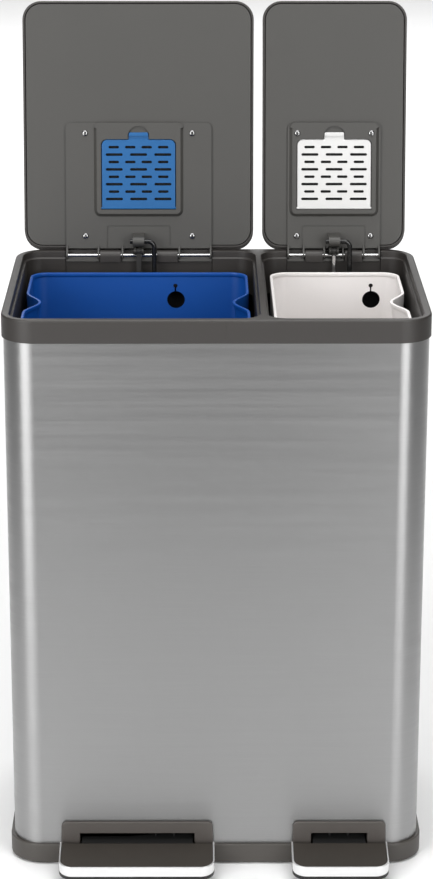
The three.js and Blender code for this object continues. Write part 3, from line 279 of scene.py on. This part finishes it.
def relief(tree, shader, value, depth):
    bump = tree.nodes.new("ShaderNodeBump")
    bump.inputs["Distance"].default_value, bump.inputs["Strength"].default_value = depth * mm, 1
    tree.links.new(value, bump.inputs["Height"])
    tree.links.new(bump.outputs["Normal"], shader.inputs["Normal"])


def shade(colour, by):
    return tuple(min(1.0, c * by) for c in colour)  # a darker or lighter shade of a colour


def mouldedPlastic(name, colour, roughness, grain=0.015, mottle=0.02, specular=0.5,
                   grainScale=2600):
    # fine spark-eroded grain, faint cloudy colour and uneven gloss
    material, tree, shader = newMaterial(name, roughness, specular=specular)
    cloud = pattern(tree, 14, 3)
    fine = pattern(tree, grainScale, 2)
    tree.links.new(tint(tree, cloud, shade(colour, 1 - mottle), shade(colour, 1 + mottle)),
                   shader.inputs["Base Color"])
    tree.links.new(between(tree, pattern(tree, 60, 4), roughness * 0.97, roughness * 1.04),
                   shader.inputs["Roughness"])
    relief(tree, shader, fine, grain)
    return material


def brushedMetal(name, colour, roughness, anisotropy, line=0.008, stretch=(12, 12, 2600),
                 metallic=1.0):
    # lines run level round the sheet, so it is smeared up and down
    material, tree, shader = newMaterial(name, roughness, metallic)
    shader.inputs["Anisotropic"].default_value = anisotropy
    lines = pattern(tree, 1, 3, stretch)
    broad = pattern(tree, 1, 2, (3, 3, stretch[2] / 12))
    tree.links.new(tint(tree, lines, shade(colour, 0.975), shade(colour, 1.02)),
                   shader.inputs["Base Color"])
    tree.links.new(between(tree, broad, roughness * 0.9, roughness * 1.12),
                   shader.inputs["Roughness"])
    upwards = tree.nodes.new("ShaderNodeCombineXYZ")
    upwards.inputs["Z"].default_value = 1
    tree.links.new(upwards.outputs["Vector"], shader.inputs["Tangent"])
    relief(tree, shader, lines, line)
    return material


def plainMetal(name, colour, roughness, scratch=0.01, mottle=0.06):
    # fine mottle, uneven gloss and finer scratches
    material, tree, shader = newMaterial(name, roughness, metallic=1.0)
    grain = pattern(tree, 400, 3)
    tree.links.new(tint(tree, grain, shade(colour, 1 - mottle), shade(colour, 1 + mottle)),
                   shader.inputs["Base Color"])
    tree.links.new(between(tree, pattern(tree, 800, 4), roughness * 0.75, roughness * 1.3),
                   shader.inputs["Roughness"])
    relief(tree, shader, pattern(tree, 2000, 2), scratch)
    return material


def openFoam(name, colour):
    material, tree, shader = newMaterial(name, 0.95, specular=0.2)
    cells = pattern(tree, 900, kind="cells")
    tree.links.new(tint(tree, cells, shade(colour, 0.4), shade(colour, 1.8)),
                   shader.inputs["Base Color"])
    relief(tree, shader, cells, 0.5)
    return material


looks = {
    "brushedSteel": brushedMetal("brushed steel", (0.324, 0.324, 0.324), 0.34, 0.6),
    # near-black steel for the inside of the body sheet: painted shade inside the body
    "insideShadeSteel": plainMetal("painted shade inside the sheet", (0.04, 0.04, 0.04), 0.6),
    "pedalSteel": brushedMetal("brushed pedal steel", (0.85, 0.85, 0.85), 0.3, 0.4, 0.006,
                               (20, 20, 3400), 0.85),
    "bodyPlastic": mouldedPlastic("rim plastic", (0.0245, 0.0215, 0.0195), 0.48),
    "basePlastic": mouldedPlastic("base plastic", (0.047, 0.042, 0.037), 0.48),
    "surroundPlastic": mouldedPlastic("pedal surround plastic", (0.056, 0.049, 0.044), 0.48),
    "lidPlastic": mouldedPlastic("lid plastic", (0.041, 0.0395, 0.036), 0.5),
    "darkPlastic": mouldedPlastic("dark plastic", (0.016, 0.015, 0.014), 0.55),
    "blackPlastic": mouldedPlastic("black plastic", (0.006, 0.006, 0.006), 0.5),
    "treadRubber": mouldedPlastic("tread rubber", (0.031, 0.026, 0.021), 0.62, 0.05, 0.08, 0.35,
                                  1500),
    "leftCover": mouldedPlastic("blue cover", (0.006, 0.083, 0.235), 0.42, 0.02, 0.03, 0.35),
    "rightCover": mouldedPlastic("white cover", (0.53, 0.527, 0.52), 0.42, 0.02, 0.015),
    "leftBucket": mouldedPlastic("blue bucket", (0.003, 0.062, 0.29), 0.4, 0.02, 0.03),
    "rightBucket": mouldedPlastic("white bucket", (0.78, 0.75, 0.735), 0.4, 0.02, 0.015),
    "chrome": plainMetal("bright steel", (0.88, 0.88, 0.88), 0.16),
    "screwSteel": plainMetal("screw steel", (0.3, 0.3, 0.3), 0.17),
    "zinc": plainMetal("zinc plate", (0.55, 0.55, 0.53), 0.36, 0.02, 0.12),
    "blackWire": mouldedPlastic("black coated wire", (0.008, 0.008, 0.008), 0.25, 0.01, 0.1),
    "foam": openFoam("filter foam", (0.012, 0.012, 0.012)),
}

# steel body

print("steel body")
steel = {"x": (-233, 233), "y": (-160, 160), "corner": 35, "foot": 25, "top": 644.7, "sheet": 1,
         "windowTop": 40.8, "windowRoom": 2}
bm = bmesh.new()
skin(bm, steel, [(steel["foot"], 0), (steel["top"], 0), (steel["top"], -steel["sheet"]),
                 (steel["foot"], -steel["sheet"])], closed=True, segments=24)
steelBody = closedPiece(bm, "bodySheet")
bm = bmesh.new()
for side in sides.values():
    half = side["slotHalf"] + steel["windowRoom"]
    block(bm, (side["middle"] - half, side["middle"] + half), (-170, -150),
          (20, steel["windowTop"]))
combine(steelBody, bm, "DIFFERENCE")
finishPiece(steelBody, looks["brushedSteel"], "root", ["steel_body"])
# faces turned into the body take the near-black steel, painted shade where the inside of the body
# lies in shadow
steelBody.data.materials.append(looks["insideShadeSteel"])
for face in steelBody.data.polygons:
    if face.normal.x * face.center.x + face.normal.y * face.center.y < 0:
        face.material_index = 1

# base

print("base")
base = {"x": (-237.15, 237.15), "y": (-164.15, 164.15), "corner": 39.15, "lift": 1.5, "ledge": 25,
        "lap": 45, "lapIn": 5.45, "wall": 2.5, "floor": 4.5, "windowRoom": 2.3,
        "footX": (-200.15, 0, 200.15), "footY": (-130.15, 130.15), "footRadius": 12,
        "postX": (-205.7, 35.3, 205.7), "postY": (-125.7, 125.7), "postRadius": 6, "postTop": 64,
        "pegRadius": 2.5, "pegTop": 67, "earThick": 4, "earRadius": 8, "earInset": 2, "earGap": 0.8}
bm = bmesh.new()
lapOut, lapBack = -base["lapIn"], -base["lapIn"] - base["wall"]
skin(bm, base, roundOver(base["lift"], 0, 2.2, below=True) + roundOver(base["ledge"], 0, 1.2, 3)
     + [(base["ledge"], lapOut), (base["lap"], lapOut), (base["lap"], lapBack),
        (base["floor"], lapBack)])
baseRing = closedPiece(bm, "baseRing")
bm = bmesh.new()
for side in sides.values():
    half = side["slotHalf"] + base["windowRoom"]
    block(bm, (side["middle"] - half, side["middle"] + half), (-160, -152), (base["ledge"], 50))
combine(baseRing, bm, "DIFFERENCE")
bm = bmesh.new()
wide = base["footRadius"]
for x in base["footX"]:
    for y in base["footY"]:
        turned(bm, [(0, 0), (wide - 1, 0), (wide, 1), (wide, 4), (0, 4)], (x, y, 0))
for x in base["postX"]:
    for y in base["postY"]:
        roundBar(bm, base["postRadius"], (x, y, 4), (x, y, base["postTop"]), 24)
        roundBar(bm, base["pegRadius"], (x, y, base["postTop"] - 1), (x, y, base["pegTop"]), 16)
for side in sides.values():
    # two ears that hold the pedal's axle
    half = side["slotHalf"] - base["earInset"]
    for x0 in (side["middle"] - half - base["earThick"] - base["earGap"],
               side["middle"] + half + base["earGap"]):
        block(bm, (x0, x0 + base["earThick"]),
              (axle["y"] - base["earRadius"], axle["y"] + base["earRadius"]), (3.5, axle["z"]))
        roundBar(bm, base["earRadius"], (x0, axle["y"], axle["z"]),
                 (x0 + base["earThick"], axle["y"], axle["z"]))
combine(baseRing, bm, "UNION")
finishPiece(baseRing, looks["basePlastic"], "root", ["base"])

# top rim

print("top rim")
rimPlan = {"x": (-rim["width"] / 2, rim["width"] / 2), "y": (-rim["depth"] / 2, rim["depth"] / 2),
           "corner": rim["corner"]}
rimTop, ledgeZ = rim["height"], rim["height"] - rim["ledgeDrop"]
bandFoot = rimTop - rim["band"]
steelGap = {"out": -rim["skirt"], "in": -3.3, "top": 645, "spigot": -5.8}
bm = bmesh.new()
skin(bm, rimPlan, [(ledgeZ - 3, steelGap["spigot"]), (rim["foot"], steelGap["spigot"]),
                   (rim["foot"], steelGap["in"]), (steelGap["top"], steelGap["in"]),
                   (steelGap["top"], steelGap["out"]), (bandFoot, steelGap["out"]),
                   (bandFoot, -0.4), (bandFoot + 0.4, 0)]
     + roundOver(rimTop, 0, rim["edge"]))
topRim = closedPiece(bm, "topRim")
for side in sides.values():
    plan = {"x": side["opening"], "y": (rim["openingFront"], rim["openingRear"]),
            "corner": rim["openingCorner"]}
    bm = bmesh.new()
    skin(bm, plan, [(rim["foot"], -0.5), (rimTop - 5, -0.5)])
    combine(topRim, bm, "UNION")
    bm = bmesh.new()
    skin(bm, plan, [(rim["foot"] - 5, -rim["ledge"]), (ledgeZ - 0.6, -rim["ledge"]),
                    (ledgeZ, -rim["ledge"] + 0.6), (ledgeZ, -0.5), (ledgeZ + 0.5, 0),
                    (rimTop - 1, 0), (rimTop - 0.3, 0.3), (rimTop, 1.0), (rimTop + 2, 1.0)])
    combine(topRim, bm, "DIFFERENCE")
bm = bmesh.new()
for side in sides.values():
    # room for the hinge block and the lid's bracket
    half = side["bracket"] / 2 + rim["blockRoom"]
    block(bm, (side["middle"] - half, side["middle"] + half), rim["blockY"], (590, 660))
block(bm, (rim["mouldLine"] - rim["lineHalf"], rim["mouldLine"] + rim["lineHalf"]),
      (-170, -rim["depth"] / 2 + rim["lineHalf"]), (bandFoot - 1, rimTop + 1))
combine(topRim, bm, "DIFFERENCE")
finishPiece(topRim, looks["bodyPlastic"], "root", ["top_rim"])

# buckets

print("buckets")
bucket = {"top": 630, "bottom": 67.3, "front": -145, "rear": 119, "corner": 19, "taper": 12,
          "wall": 2, "bead": 3.4, "scoop": 16, "scoopMiddle": -17, "scoopHalf": 43,
          "scoopDrop": 120, "plain": 300}
bagHole = {"z": 597, "radius": 10.5, "notch": 2.6, "notchIn": -0.6, "notchUp": 17,
           "tail": (-1.5, 0.3), "through": (95, 125)}


def bucketRing(bm, side, z, inset):
    # one level of a bucket: a rounded ring whose long sides are pushed in at the finger scoops
    taper = bucket["taper"] * (1 - (z - bucket["bottom"]) / (bucket["top"] - bucket["bottom"]))
    plan = {"x": side["bucket"], "y": (bucket["front"], bucket["rear"]),
            "corner": bucket["corner"] + (taper + inset) / 2}
    known = set(bm.edges)
    face = spanFace(bm, plan, z, -taper - inset, 10)
    long = [e for e in face.edges if abs(e.verts[0].co.y - e.verts[1].co.y) > 100]
    bmesh.ops.delete(bm, geom=[face], context="FACES_ONLY")
    bmesh.ops.subdivide_edges(bm, edges=long, cuts=56)
    ring = [e for e in bm.edges if e not in known]
    depth = bucket["scoop"] * max(0.0, 1 - (bucket["top"] - z) / bucket["scoopDrop"])
    middle = sum(side["bucket"]) / 2
    for vert in {v for e in ring for v in e.verts}:
        way = 1 if vert.co.x > middle else -1
        reach = abs(vert.co.y - bucket["scoopMiddle"]) / bucket["scoopHalf"]
        if way in side["scoops"] and reach < 1:
            vert.co.x -= way * depth * (0.5 + 0.5 * math.cos(math.pi * reach))
    return ring


for name, side in sides.items():
    bm = bmesh.new()
    brim, foot, wall, bead = bucket["top"], bucket["bottom"], bucket["wall"], bucket["bead"]
    upper = [brim - bucket["scoopDrop"] + 10 * k for k in range(12)]
    outside = [(foot, 6), (foot + 1.8, 1.8), (foot + 6, 0), (bucket["plain"], 0)]
    outside += [(z, 0) for z in upper]
    outside += [(brim - 3, 0), (brim - 0.9, 0), (brim - 0.3, 0.25), (brim, 0.85)]
    inside = [(brim - 0.01, bead - 0.85), (brim - 0.3, bead - 0.25), (brim - 0.9, bead),
              (brim - 3, bead), (brim - 4.2, bead - 0.5), (brim - 5.4, wall)]
    inside += [(z, wall) for z in reversed(upper)]
    inside += [(bucket["plain"], wall), (foot + 8, wall), (foot + 3.8, wall + 1.8),
               (foot + 2, wall + 6)]
    rings = [bucketRing(bm, side, z, inset) for z, inset in outside + inside]
    for low, high in zip(rings, rings[1:]):
        bmesh.ops.bridge_loops(bm, edges=low + high)
    for ring in (rings[0], rings[-1]):
        bmesh.ops.contextual_create(bm, geom=ring)
    pail = closedPiece(bm, name + "Bucket")

    # bag hole: a round hole, and a small one above it that a slit joins to it
    bm = bmesh.new()
    x, z = side["bagHole"], bagHole["z"]
    near, far = bagHole["through"]
    roundBar(bm, bagHole["radius"], (x, near, z), (x, far, z), 48)
    notchX, notchZ = x + bagHole["notchIn"], z + bagHole["notchUp"]
    roundBar(bm, bagHole["notch"], (notchX, near, notchZ), (notchX, far, notchZ), 24)
    block(bm, (x + bagHole["tail"][0], x + bagHole["tail"][1]), (near, far), (z, notchZ))
    combine(pail, bm, "DIFFERENCE")
    finishPiece(pail, looks[name + "Bucket"], "bucket_" + name, ["bucket_" + name])

# lids

print("lids")
lid = {"length": 290.4, "fromHinge": 8.4, "under": 6.2, "top": 22.2, "corner": 22, "edge": 5.5,
       "wall": 2.7, "roof": 2.6, "liner": 3, "gap": 3.5, "lip": 3, "lipFrom": 14.5, "mark": 3.3,
       "markDeep": 0.12, "windowHalf": 43.8, "window": (46.6, 128.5)}
bracket = {"face": 3.2, "bezelFace": -0.3, "bezelHalf": 53, "bezelFrom": 37.6, "bezelCorner": 8,
           "slope": 3.4, "panel": 76, "panelLength": 27, "panelCorner": 1.8, "groove": 1.4,
           "grooveDeep": 0.8, "screws": (14.4, 136)}
screw = {"head": 3.5, "high": 1.8, "shank": 1.5, "length": 9, "hole": 1.8, "cross": 1.9,
         "crossHalf": 0.32, "crossDeep": 0.85}
cover = {"width": 87.4, "from": 46.4, "length": 82.3, "face": 0.2, "thick": 2.7, "corner": 7,
         "firstRow": 12.1, "pitch": 8.74, "rows": 8, "slotHigh": 3.1, "edge": 1.4,
         "slots": (((-28.8, 0, 28.8), 20.2), ((-29.25, -9.75, 9.75, 29.25), 12.4)),
         "tabWidth": 23.4, "tabReach": 8.3, "tabThick": 2.4, "tabCorner": 2,
         "valley": (0.2, 4.2), "valleyDeep": 1.9}
pad = {"half": 40.5, "from": 49.9, "to": 125.2, "face": 4.6, "back": 11.6, "crown": 0.7}


def fromRear(distance):
    return -lid["fromHinge"] - distance  # a place in the lid's own frame, in front of its rear edge


def panHead(bm, x, y, z):
    # pan head facing down, with a cross cut into it afterwards
    r, high = screw["head"], screw["high"]
    turned(bm, [(0, 0), (r * 0.55, 0.06), (r * 0.82, 0.35), (r * 0.97, 0.95), (r, high),
                (screw["shank"], high), (screw["shank"], high + screw["length"]),
                (0, high + screw["length"])], (x, y, z), 28)


def crossCut(bm, x, y, z):
    arm, half = screw["cross"], screw["crossHalf"]
    for long, across in ((arm, half), (half, arm)):
        block(bm, (x - long, x + long), (y - across, y + across), (z - 1, z + screw["crossDeep"]))


for name, side in sides.items():
    body = "lid_" + name
    plan = {"x": side["lid"], "y": (fromRear(lid["length"]), fromRear(0)),
            "corner": lid["corner"]}
    middle, half = side["middle"], bracket["bezelHalf"]
    screws = [(x, fromRear(s)) for x in (middle - side["bracket"] / 2 + side["screwInset"],
                                         middle + side["bracket"] / 2 - side["screwInset"])
              for s in bracket["screws"]]

    # shell: its roof reaches past its rear wall, so the rear half of the upper rings moves back
    ceiling, lipZ = lid["top"] - lid["roof"], lid["lipFrom"]
    bm = bmesh.new()
    skin(bm, plan, [(ceiling, -lid["wall"]), (lid["under"] + 0.4, -lid["wall"]),
                    (lid["under"], -lid["wall"] + 0.4)]
         + roundOver(lid["under"], 0, 1, 3, below=True) + [(lipZ, 0), (lipZ + 0.02, 0)]
         + roundOver(lid["top"], 0, lid["edge"], 6))
    for vert in bm.verts:
        isRear = vert.co.y > fromRear(lid["length"] / 2)
        isCeiling = abs(vert.co.z - ceiling) <= 0.001
        if isRear and vert.co.z > lipZ + 0.01 and not isCeiling:
            vert.co.y += lid["lip"]
    shell = closedPiece(bm, name + "LidShell", lidPlace)
    finishPiece(shell, looks["bodyPlastic"], body, ["lid_shell_" + name])

    # liner, with the round marks that the mould leaves
    bm = bmesh.new()
    skin(bm, plan, roundOver(lid["under"], -lid["gap"], 0.5, 2, below=True)
         + [(lid["under"] + lid["liner"], -lid["gap"])])
    liner = closedPiece(bm, name + "LidLiner", lidPlace)
    bm = bmesh.new()
    block(bm, (middle - lid["windowHalf"], middle + lid["windowHalf"]),
          (fromRear(lid["window"][1]), fromRear(lid["window"][0])), (0, 12))
    for x, y in screws:
        roundBar(bm, screw["hole"], (x, y, 0), (x, y, 12), 16)
    for x, s in side["marks"]:
        roundBar(bm, lid["mark"], (x, fromRear(s), 0),
                 (x, fromRear(s), lid["under"] + lid["markDeep"]), 32)
    combine(liner, bm, "DIFFERENCE", lidPlace)
    finishPiece(liner, looks["lidPlastic"], body, ["lid_liner_" + name])

    # bracket: the flanks of its raised bezel slope, and a groove runs round the panel by the hinge.
    # The outline of the bezel's face moves in by the slope; the bezel's foot stays where it is.
    face, low, radius = bracket["face"], bracket["bezelFace"], bracket["bezelCorner"]
    bm = fromNode("lid_bracket_" + name, lidPlace)
    for vert in bm.verts:
        way = 1 if vert.co.x > middle else -1
        past = Vector((abs(vert.co.x - middle) - half + radius,
                       vert.co.y - fromRear(bracket["bezelFrom"]) + radius))
        if min(past) > 0:
            outwards, distance = past.normalized(), past.length
        else:
            outwards, distance = Vector((1, 0) if past.x > past.y else (0, 1)), max(past)
        if abs(vert.co.z - low) < 0.05 and abs(distance - radius) < 0.1:
            vert.co.x -= way * outwards.x * bracket["slope"]
            vert.co.y -= outwards.y * bracket["slope"]
    plate = closedPiece(bm, name + "LidBracket", lidPlace)
    bm = bmesh.new()
    inPanel = bracket["panel"] / 2 - bracket["groove"]
    skin(bm, {"x": (middle - inPanel, middle + inPanel), "corner": bracket["panelCorner"],
              "y": (fromRear(bracket["panelLength"] - bracket["groove"]), fromRear(0.02)),
              "rearCorner": 0}, [(face, 0), (face + bracket["grooveDeep"] + 0.2, 0)])
    combine(plate, bm, "UNION", lidPlace)
    finishPiece(plate, looks["lidPlastic"], body, ["lid_bracket_" + name], 0.5)

    # screws: those that stand on the bezel are higher
    for i, (x, y) in enumerate(screws):
        onBezel = y < fromRear(bracket["bezelFrom"]) and abs(x - middle) < half
        z = (low if onBezel else face) - screw["high"]
        bm = bmesh.new()
        panHead(bm, x, y, z)
        head = closedPiece(bm, f"{name}LidScrew{i + 1}", lidPlace)
        bm = bmesh.new()
        crossCut(bm, x, y, z)
        combine(head, bm, "DIFFERENCE", lidPlace)
        finishPiece(head, looks["screwSteel"], body, [f"lid_screw_{name}_{i + 1}"])

    # cover: a plate with rounded slots, a round hem at its hinge, and a finger tab
    plan = {"x": (middle - cover["width"] / 2, middle + cover["width"] / 2),
            "y": (fromRear(cover["from"] + cover["length"]),
                  fromRear(cover["from"] + cover["thick"] / 3)),
            "corner": cover["corner"], "rearCorner": 0}
    left, right = plan["x"]
    face, back = cover["face"], cover["face"] + cover["thick"]
    bm = bmesh.new()
    skin(bm, plan, roundOver(face, 0, cover["edge"], 4, below=True) + [(back, 0)])
    sieve = closedPiece(bm, name + "FilterCover", lidPlace)
    bm = bmesh.new()
    hemY, hemZ = fromRear(cover["from"] + cover["thick"] / 2), (face + back) / 2
    roundBar(bm, cover["thick"] / 2, (left, hemY, hemZ), (right, hemY, hemZ), 24)
    roundBar(bm, cover["thick"] / 2 - 0.3, (left - 2, hemY, hemZ), (right + 2, hemY, hemZ), 24)
    tab = {"x": (middle - cover["tabWidth"] / 2, middle + cover["tabWidth"] / 2),
           "y": (fromRear(cover["from"] + cover["length"] + cover["tabReach"]),
                 fromRear(cover["from"] + cover["length"] - 3)),
           "corner": cover["tabCorner"], "rearCorner": 0}
    skin(bm, tab, roundOver(face, 0, 1, 3, below=True) + [(face + cover["tabThick"], 0)],
         segments=6)
    combine(sieve, bm, "UNION", lidPlace)
    bm = bmesh.new()
    valley = [fromRear(cover["from"] + cover["length"] + s) for s in reversed(cover["valley"])]
    block(bm, (tab["x"][0] - 1, tab["x"][1] + 1), valley,
          (face - 1, face + cover["valleyDeep"]))
    for row in range(cover["rows"]):
        y = fromRear(cover["from"] + cover["firstRow"] + row * cover["pitch"])
        places, length = cover["slots"][row % 2]
        for x in places:
            slot = {"x": (middle + x - length / 2, middle + x + length / 2),
                    "y": (y - cover["slotHigh"] / 2, y + cover["slotHigh"] / 2),
                    "corner": cover["slotHigh"] / 2 - 0.01}
            skin(bm, slot, [(face - 2, 0), (back + 2, 0)], segments=5)
    combine(sieve, bm, "DIFFERENCE", lidPlace)
    finishPiece(sieve, looks[name + "Cover"], "filter_cover_" + name, ["filter_cover_" + name],
                0.2)

    # foam pad, crowned a little between its edges
    bm = bmesh.new()
    padY, padHalf = fromRear((pad["from"] + pad["to"]) / 2), (pad["to"] - pad["from"]) / 2
    for z, way in ((pad["face"], -1), (pad["back"], 1)):
        verts = bmesh.ops.create_grid(bm, x_segments=28, y_segments=26, size=0.5)["verts"]
        bmesh.ops.scale(bm, vec=(2 * pad["half"], 2 * padHalf, 1), verts=verts)
        bmesh.ops.translate(bm, vec=(middle, padY, z), verts=verts)
        for vert in verts:
            away = max(abs(vert.co.x - middle) / pad["half"], abs(vert.co.y - padY) / padHalf)
            vert.co.z += way * pad["crown"] * (1 - away ** 4)
    bmesh.ops.bridge_loops(bm, edges=[e for e in bm.edges if e.is_boundary])
    foam = closedPiece(bm, name + "FilterPad", lidPlace)
    finishPiece(foam, looks["foam"], body, ["filter_pad_" + name])

# hinges

print("hinges")
for name, side in sides.items():
    finishPiece(closedPiece(fromNode("hinge_block_" + name), name + "HingeBlock"),
                looks["bodyPlastic"], "root", ["hinge_block_" + name], 0.35)
    low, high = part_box("hinge_pin_" + name)
    bm = bmesh.new()
    roundBar(bm, hinge["pinRadius"], (low.x / mm, hinge["y"], hinge["z"]),
             (high.x / mm, hinge["y"], hinge["z"]))
    finishPiece(closedPiece(bm, name + "HingePin"), looks["chrome"], "root",
                ["hinge_pin_" + name], 0.5)

# links

print("links")
rod = {"radius": 2.75, "y": 136.02561, "top": 663.01591, "bend": 7, "sideways": 18.4,
       "lugHalf": 6.75, "past": 3.5, "hookEnd": 4.9}
damperRodRadius = 3
damperParts = [
    # node, name, look, body, slot, bevel
    ("damper_eye_", "DamperEye", "darkPlastic", "damper_rod_", "dark_plastic", 0.5),
    ("damper_cylinder_", "DamperCylinder", "darkPlastic", "damper_cylinder_", "dark_plastic", 0.5),
    ("damper_bracket_", "DamperBracket", "zinc", "root", "zinc_steel", 0.3),
    ("damper_pin_", "DamperPin", "zinc", "lid_", "zinc_steel", 0.2),
]
for name, side in sides.items():
    low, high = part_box("push_rod_" + name)
    # the wire turns down over the lid's lug, runs plumb to the pedal, and hooks through the lever
    bend, upX, footZ = rod["bend"], side["middle"] + rod["sideways"], low.z / mm + rod["radius"]
    path = [(side["middle"] - rod["lugHalf"] - rod["past"], rod["y"], rod["top"])]
    path += quarterTurn((upX - bend, rod["top"] - bend), rod["y"], bend, 90)
    path += quarterTurn((upX - bend / 2, footZ + bend / 2), rod["y"], bend / 2, 0)
    path += [(side["middle"] + rod["hookEnd"], rod["y"], footZ)]
    bm = bmesh.new()
    wire(bm, rod["radius"], path)
    finishPiece(closedPiece(bm, name + "PushRod"), looks["blackWire"], "push_rod_" + name,
                ["push_rod_" + name], 0.4)
    for node, piece, look, body, slot, bevel in damperParts:
        ridesOn = body if body == "root" else body + name
        finishPiece(closedPiece(fromNode(node + name), name + piece), looks[look], ridesOn,
                    [node + name], bevel)
    low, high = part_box("damper_rod_" + name)
    y = (low.y + high.y) / 2 / mm
    bm = bmesh.new()
    roundBar(bm, damperRodRadius, (side["middle"], y, low.z / mm), (side["middle"], y, high.z / mm),
             40)
    finishPiece(closedPiece(bm, name + "DamperRod"), looks["chrome"], "damper_rod_" + name,
                ["damper_rod_" + name], 0.4)
    for i in (1, 2):
        node = f"damper_bracket_screw_{name}_{i}"
        finishPiece(closedPiece(fromNode(node), f"{name}DamperScrew{i}"), looks["zinc"], "root",
                    [node], 0.2)

# pedals

print("pedals")
pedal = {"reach": 105.5, "rear": 53, "corner": 16, "steel": 1.6, "steelLow": 2.9,
         "steelTop": 15.3, "tread": 4, "treadTop": 15, "gap": 0.3}
for name, side in sides.items():
    body = "pedal_" + name
    half = side["pedal"] / 2
    plan = {"x": (side["middle"] - half, side["middle"] + half),
            "y": (-pedal["reach"], -pedal["rear"]), "corner": pedal["corner"], "rearCorner": 0}
    inset = pedal["steel"] + pedal["gap"]
    treadPlan = {"x": (plan["x"][0] + inset, plan["x"][1] - inset),
                 "y": (plan["y"][0] + inset, -pedal["rear"] - 3),
                 "corner": pedal["corner"] - inset, "rearCorner": 0}
    bm = bmesh.new()
    treadTop, steelTop = pedal["treadTop"], pedal["steelTop"]
    skin(bm, treadPlan, [(treadTop - pedal["tread"], 0), (treadTop - 0.7, 0),
                         (treadTop - 0.2, -0.2), (treadTop, -0.8)], segments=16)
    finishPiece(closedPiece(bm, name + "PedalTread", pedalPlace), looks["treadRubber"], body,
                ["pedal_pad_" + name])
    bm = bmesh.new()
    skin(bm, plan, [(pedal["steelLow"], 0), (steelTop - 0.5, 0), (steelTop - 0.15, -0.15),
                    (steelTop, -0.5)], segments=16)
    trim = closedPiece(bm, name + "PedalTrim", pedalPlace)
    bm = bmesh.new()
    inner = {"x": (plan["x"][0] + pedal["steel"], plan["x"][1] - pedal["steel"]),
             "y": (plan["y"][0] + pedal["steel"], -pedal["rear"] + 5),
             "corner": pedal["corner"] - pedal["steel"], "rearCorner": 0}
    skin(bm, inner, [(0, 0), (20, 0)], segments=16)
    combine(trim, bm, "DIFFERENCE", pedalPlace)
    finishPiece(trim, looks["pedalSteel"], body, ["pedal_trim_" + name], 0.15)
    carrier = closedPiece(fromNode("pedal_carrier_" + name, pedalPlace), name + "PedalCarrier",
                          pedalPlace)
    finishPiece(carrier, looks["blackPlastic"], body, ["pedal_carrier_" + name],
                0.4)
    lever = closedPiece(fromNode("pedal_lever_" + name, pedalPlace), name + "PedalLever",
                        pedalPlace)
    finishPiece(lever, looks["zinc"], body, ["pedal_lever_" + name], 0.3)
    finishPiece(closedPiece(fromNode("pedal_surround_" + name), name + "PedalSurround"),
                looks["surroundPlastic"], "root", ["pedal_surround_" + name], 1.0,
                3)
    for node, piece in (("pedal_axle_", "PedalAxle"), ("pedal_axle_clip_", "PedalClip")):
        finishPiece(closedPiece(fromNode(node + name), name + piece), looks["zinc"], "root",
                    [node + name], 0.3)

# inner floor

print("inner floor")
finishPiece(closedPiece(fromNode("inner_floor"), "innerFloor"), looks["darkPlastic"], "root",
            ["inner_floor"], 0.6)

# floor, light and camera

print("floor, light and camera")
floorRadius = 16000
worldStrength = 0.04
# the camera's place is in metres, and its angles are in degrees
view = {"place": (-0.02168, -2.88041, 1.39225), "down": 17.92, "turn": -0.154, "lens": 107.11,
        "shift": 0.01498}
bm = bmesh.new()
bmesh.ops.create_circle(bm, cap_ends=True, radius=floorRadius, segments=96)
ground = newObject(bm, "floor")
material, tree, shader = newMaterial("pale floor", 0.9, specular=0.1)
tree.links.new(tint(tree, pattern(tree, 3, 2), (0.86, 0.86, 0.86), (0.88, 0.88, 0.88)),
               shader.inputs["Base Color"])
ground.data.materials.append(material)

world = bpy.data.worlds.new("studio")
bpy.context.scene.world = world
world.use_nodes = True
sky = world.node_tree.nodes["Background"]
sky.inputs["Color"].default_value = (1, 1, 1, 1)
sky.inputs["Strength"].default_value = worldStrength

softBoxes = [
    # name, place and target in metres, width, height, strength in watts, spread in degrees
    ("leftBox", (-1.35, -1.75, 0.95), (0, 0, 0.35), 1.3, 1.9, 14.3, 95),
    ("rightBox", (1.1, -1.9, 0.95), (0, 0, 0.35), 1.0, 1.9, 10.2, 95),
    ("frontBox", (0, -0.35, 2.0), (0, -0.35, 0), 1.8, 1.3, 30, 180),
    ("rearBox", (0, 4.2, 3.4), (0, 4.0, 0), 5.0, 4.0, 268, 180),
    ("leftFill", (-0.5, -2.35, 0.95), (0, 0, 0.35), 0.5, 1.9, 0.7, 95),
    ("rightFill", (0.45, -2.35, 0.95), (0, 0, 0.35), 0.5, 1.9, 0.3, 95),
]
for name, place, target, width, height, watts, spread in softBoxes:
    light = bpy.data.lights.new(name, "AREA")
    light.shape, light.size, light.size_y, light.energy = "RECTANGLE", width, height, watts
    light.spread = math.radians(spread)
    lamp = bpy.data.objects.new(name, light)
    lamp.location = place
    lamp.rotation_euler = (Vector(target) - Vector(place)).to_track_quat("-Z", "Y").to_euler()
    lamp.visible_camera = False
    bpy.context.scene.collection.objects.link(lamp)

cameraData = bpy.data.cameras.new("camera")
cameraData.lens, cameraData.sensor_width, cameraData.shift_x = view["lens"], 36, view["shift"]
camera = bpy.data.objects.new("camera", cameraData)
camera.location = view["place"]
camera.rotation_euler = (math.radians(90 - view["down"]), 0, math.radians(view["turn"]))
bpy.context.scene.collection.objects.link(camera)
bpy.context.scene.camera = camera
bpy.context.scene.view_settings.view_transform = "Standard"
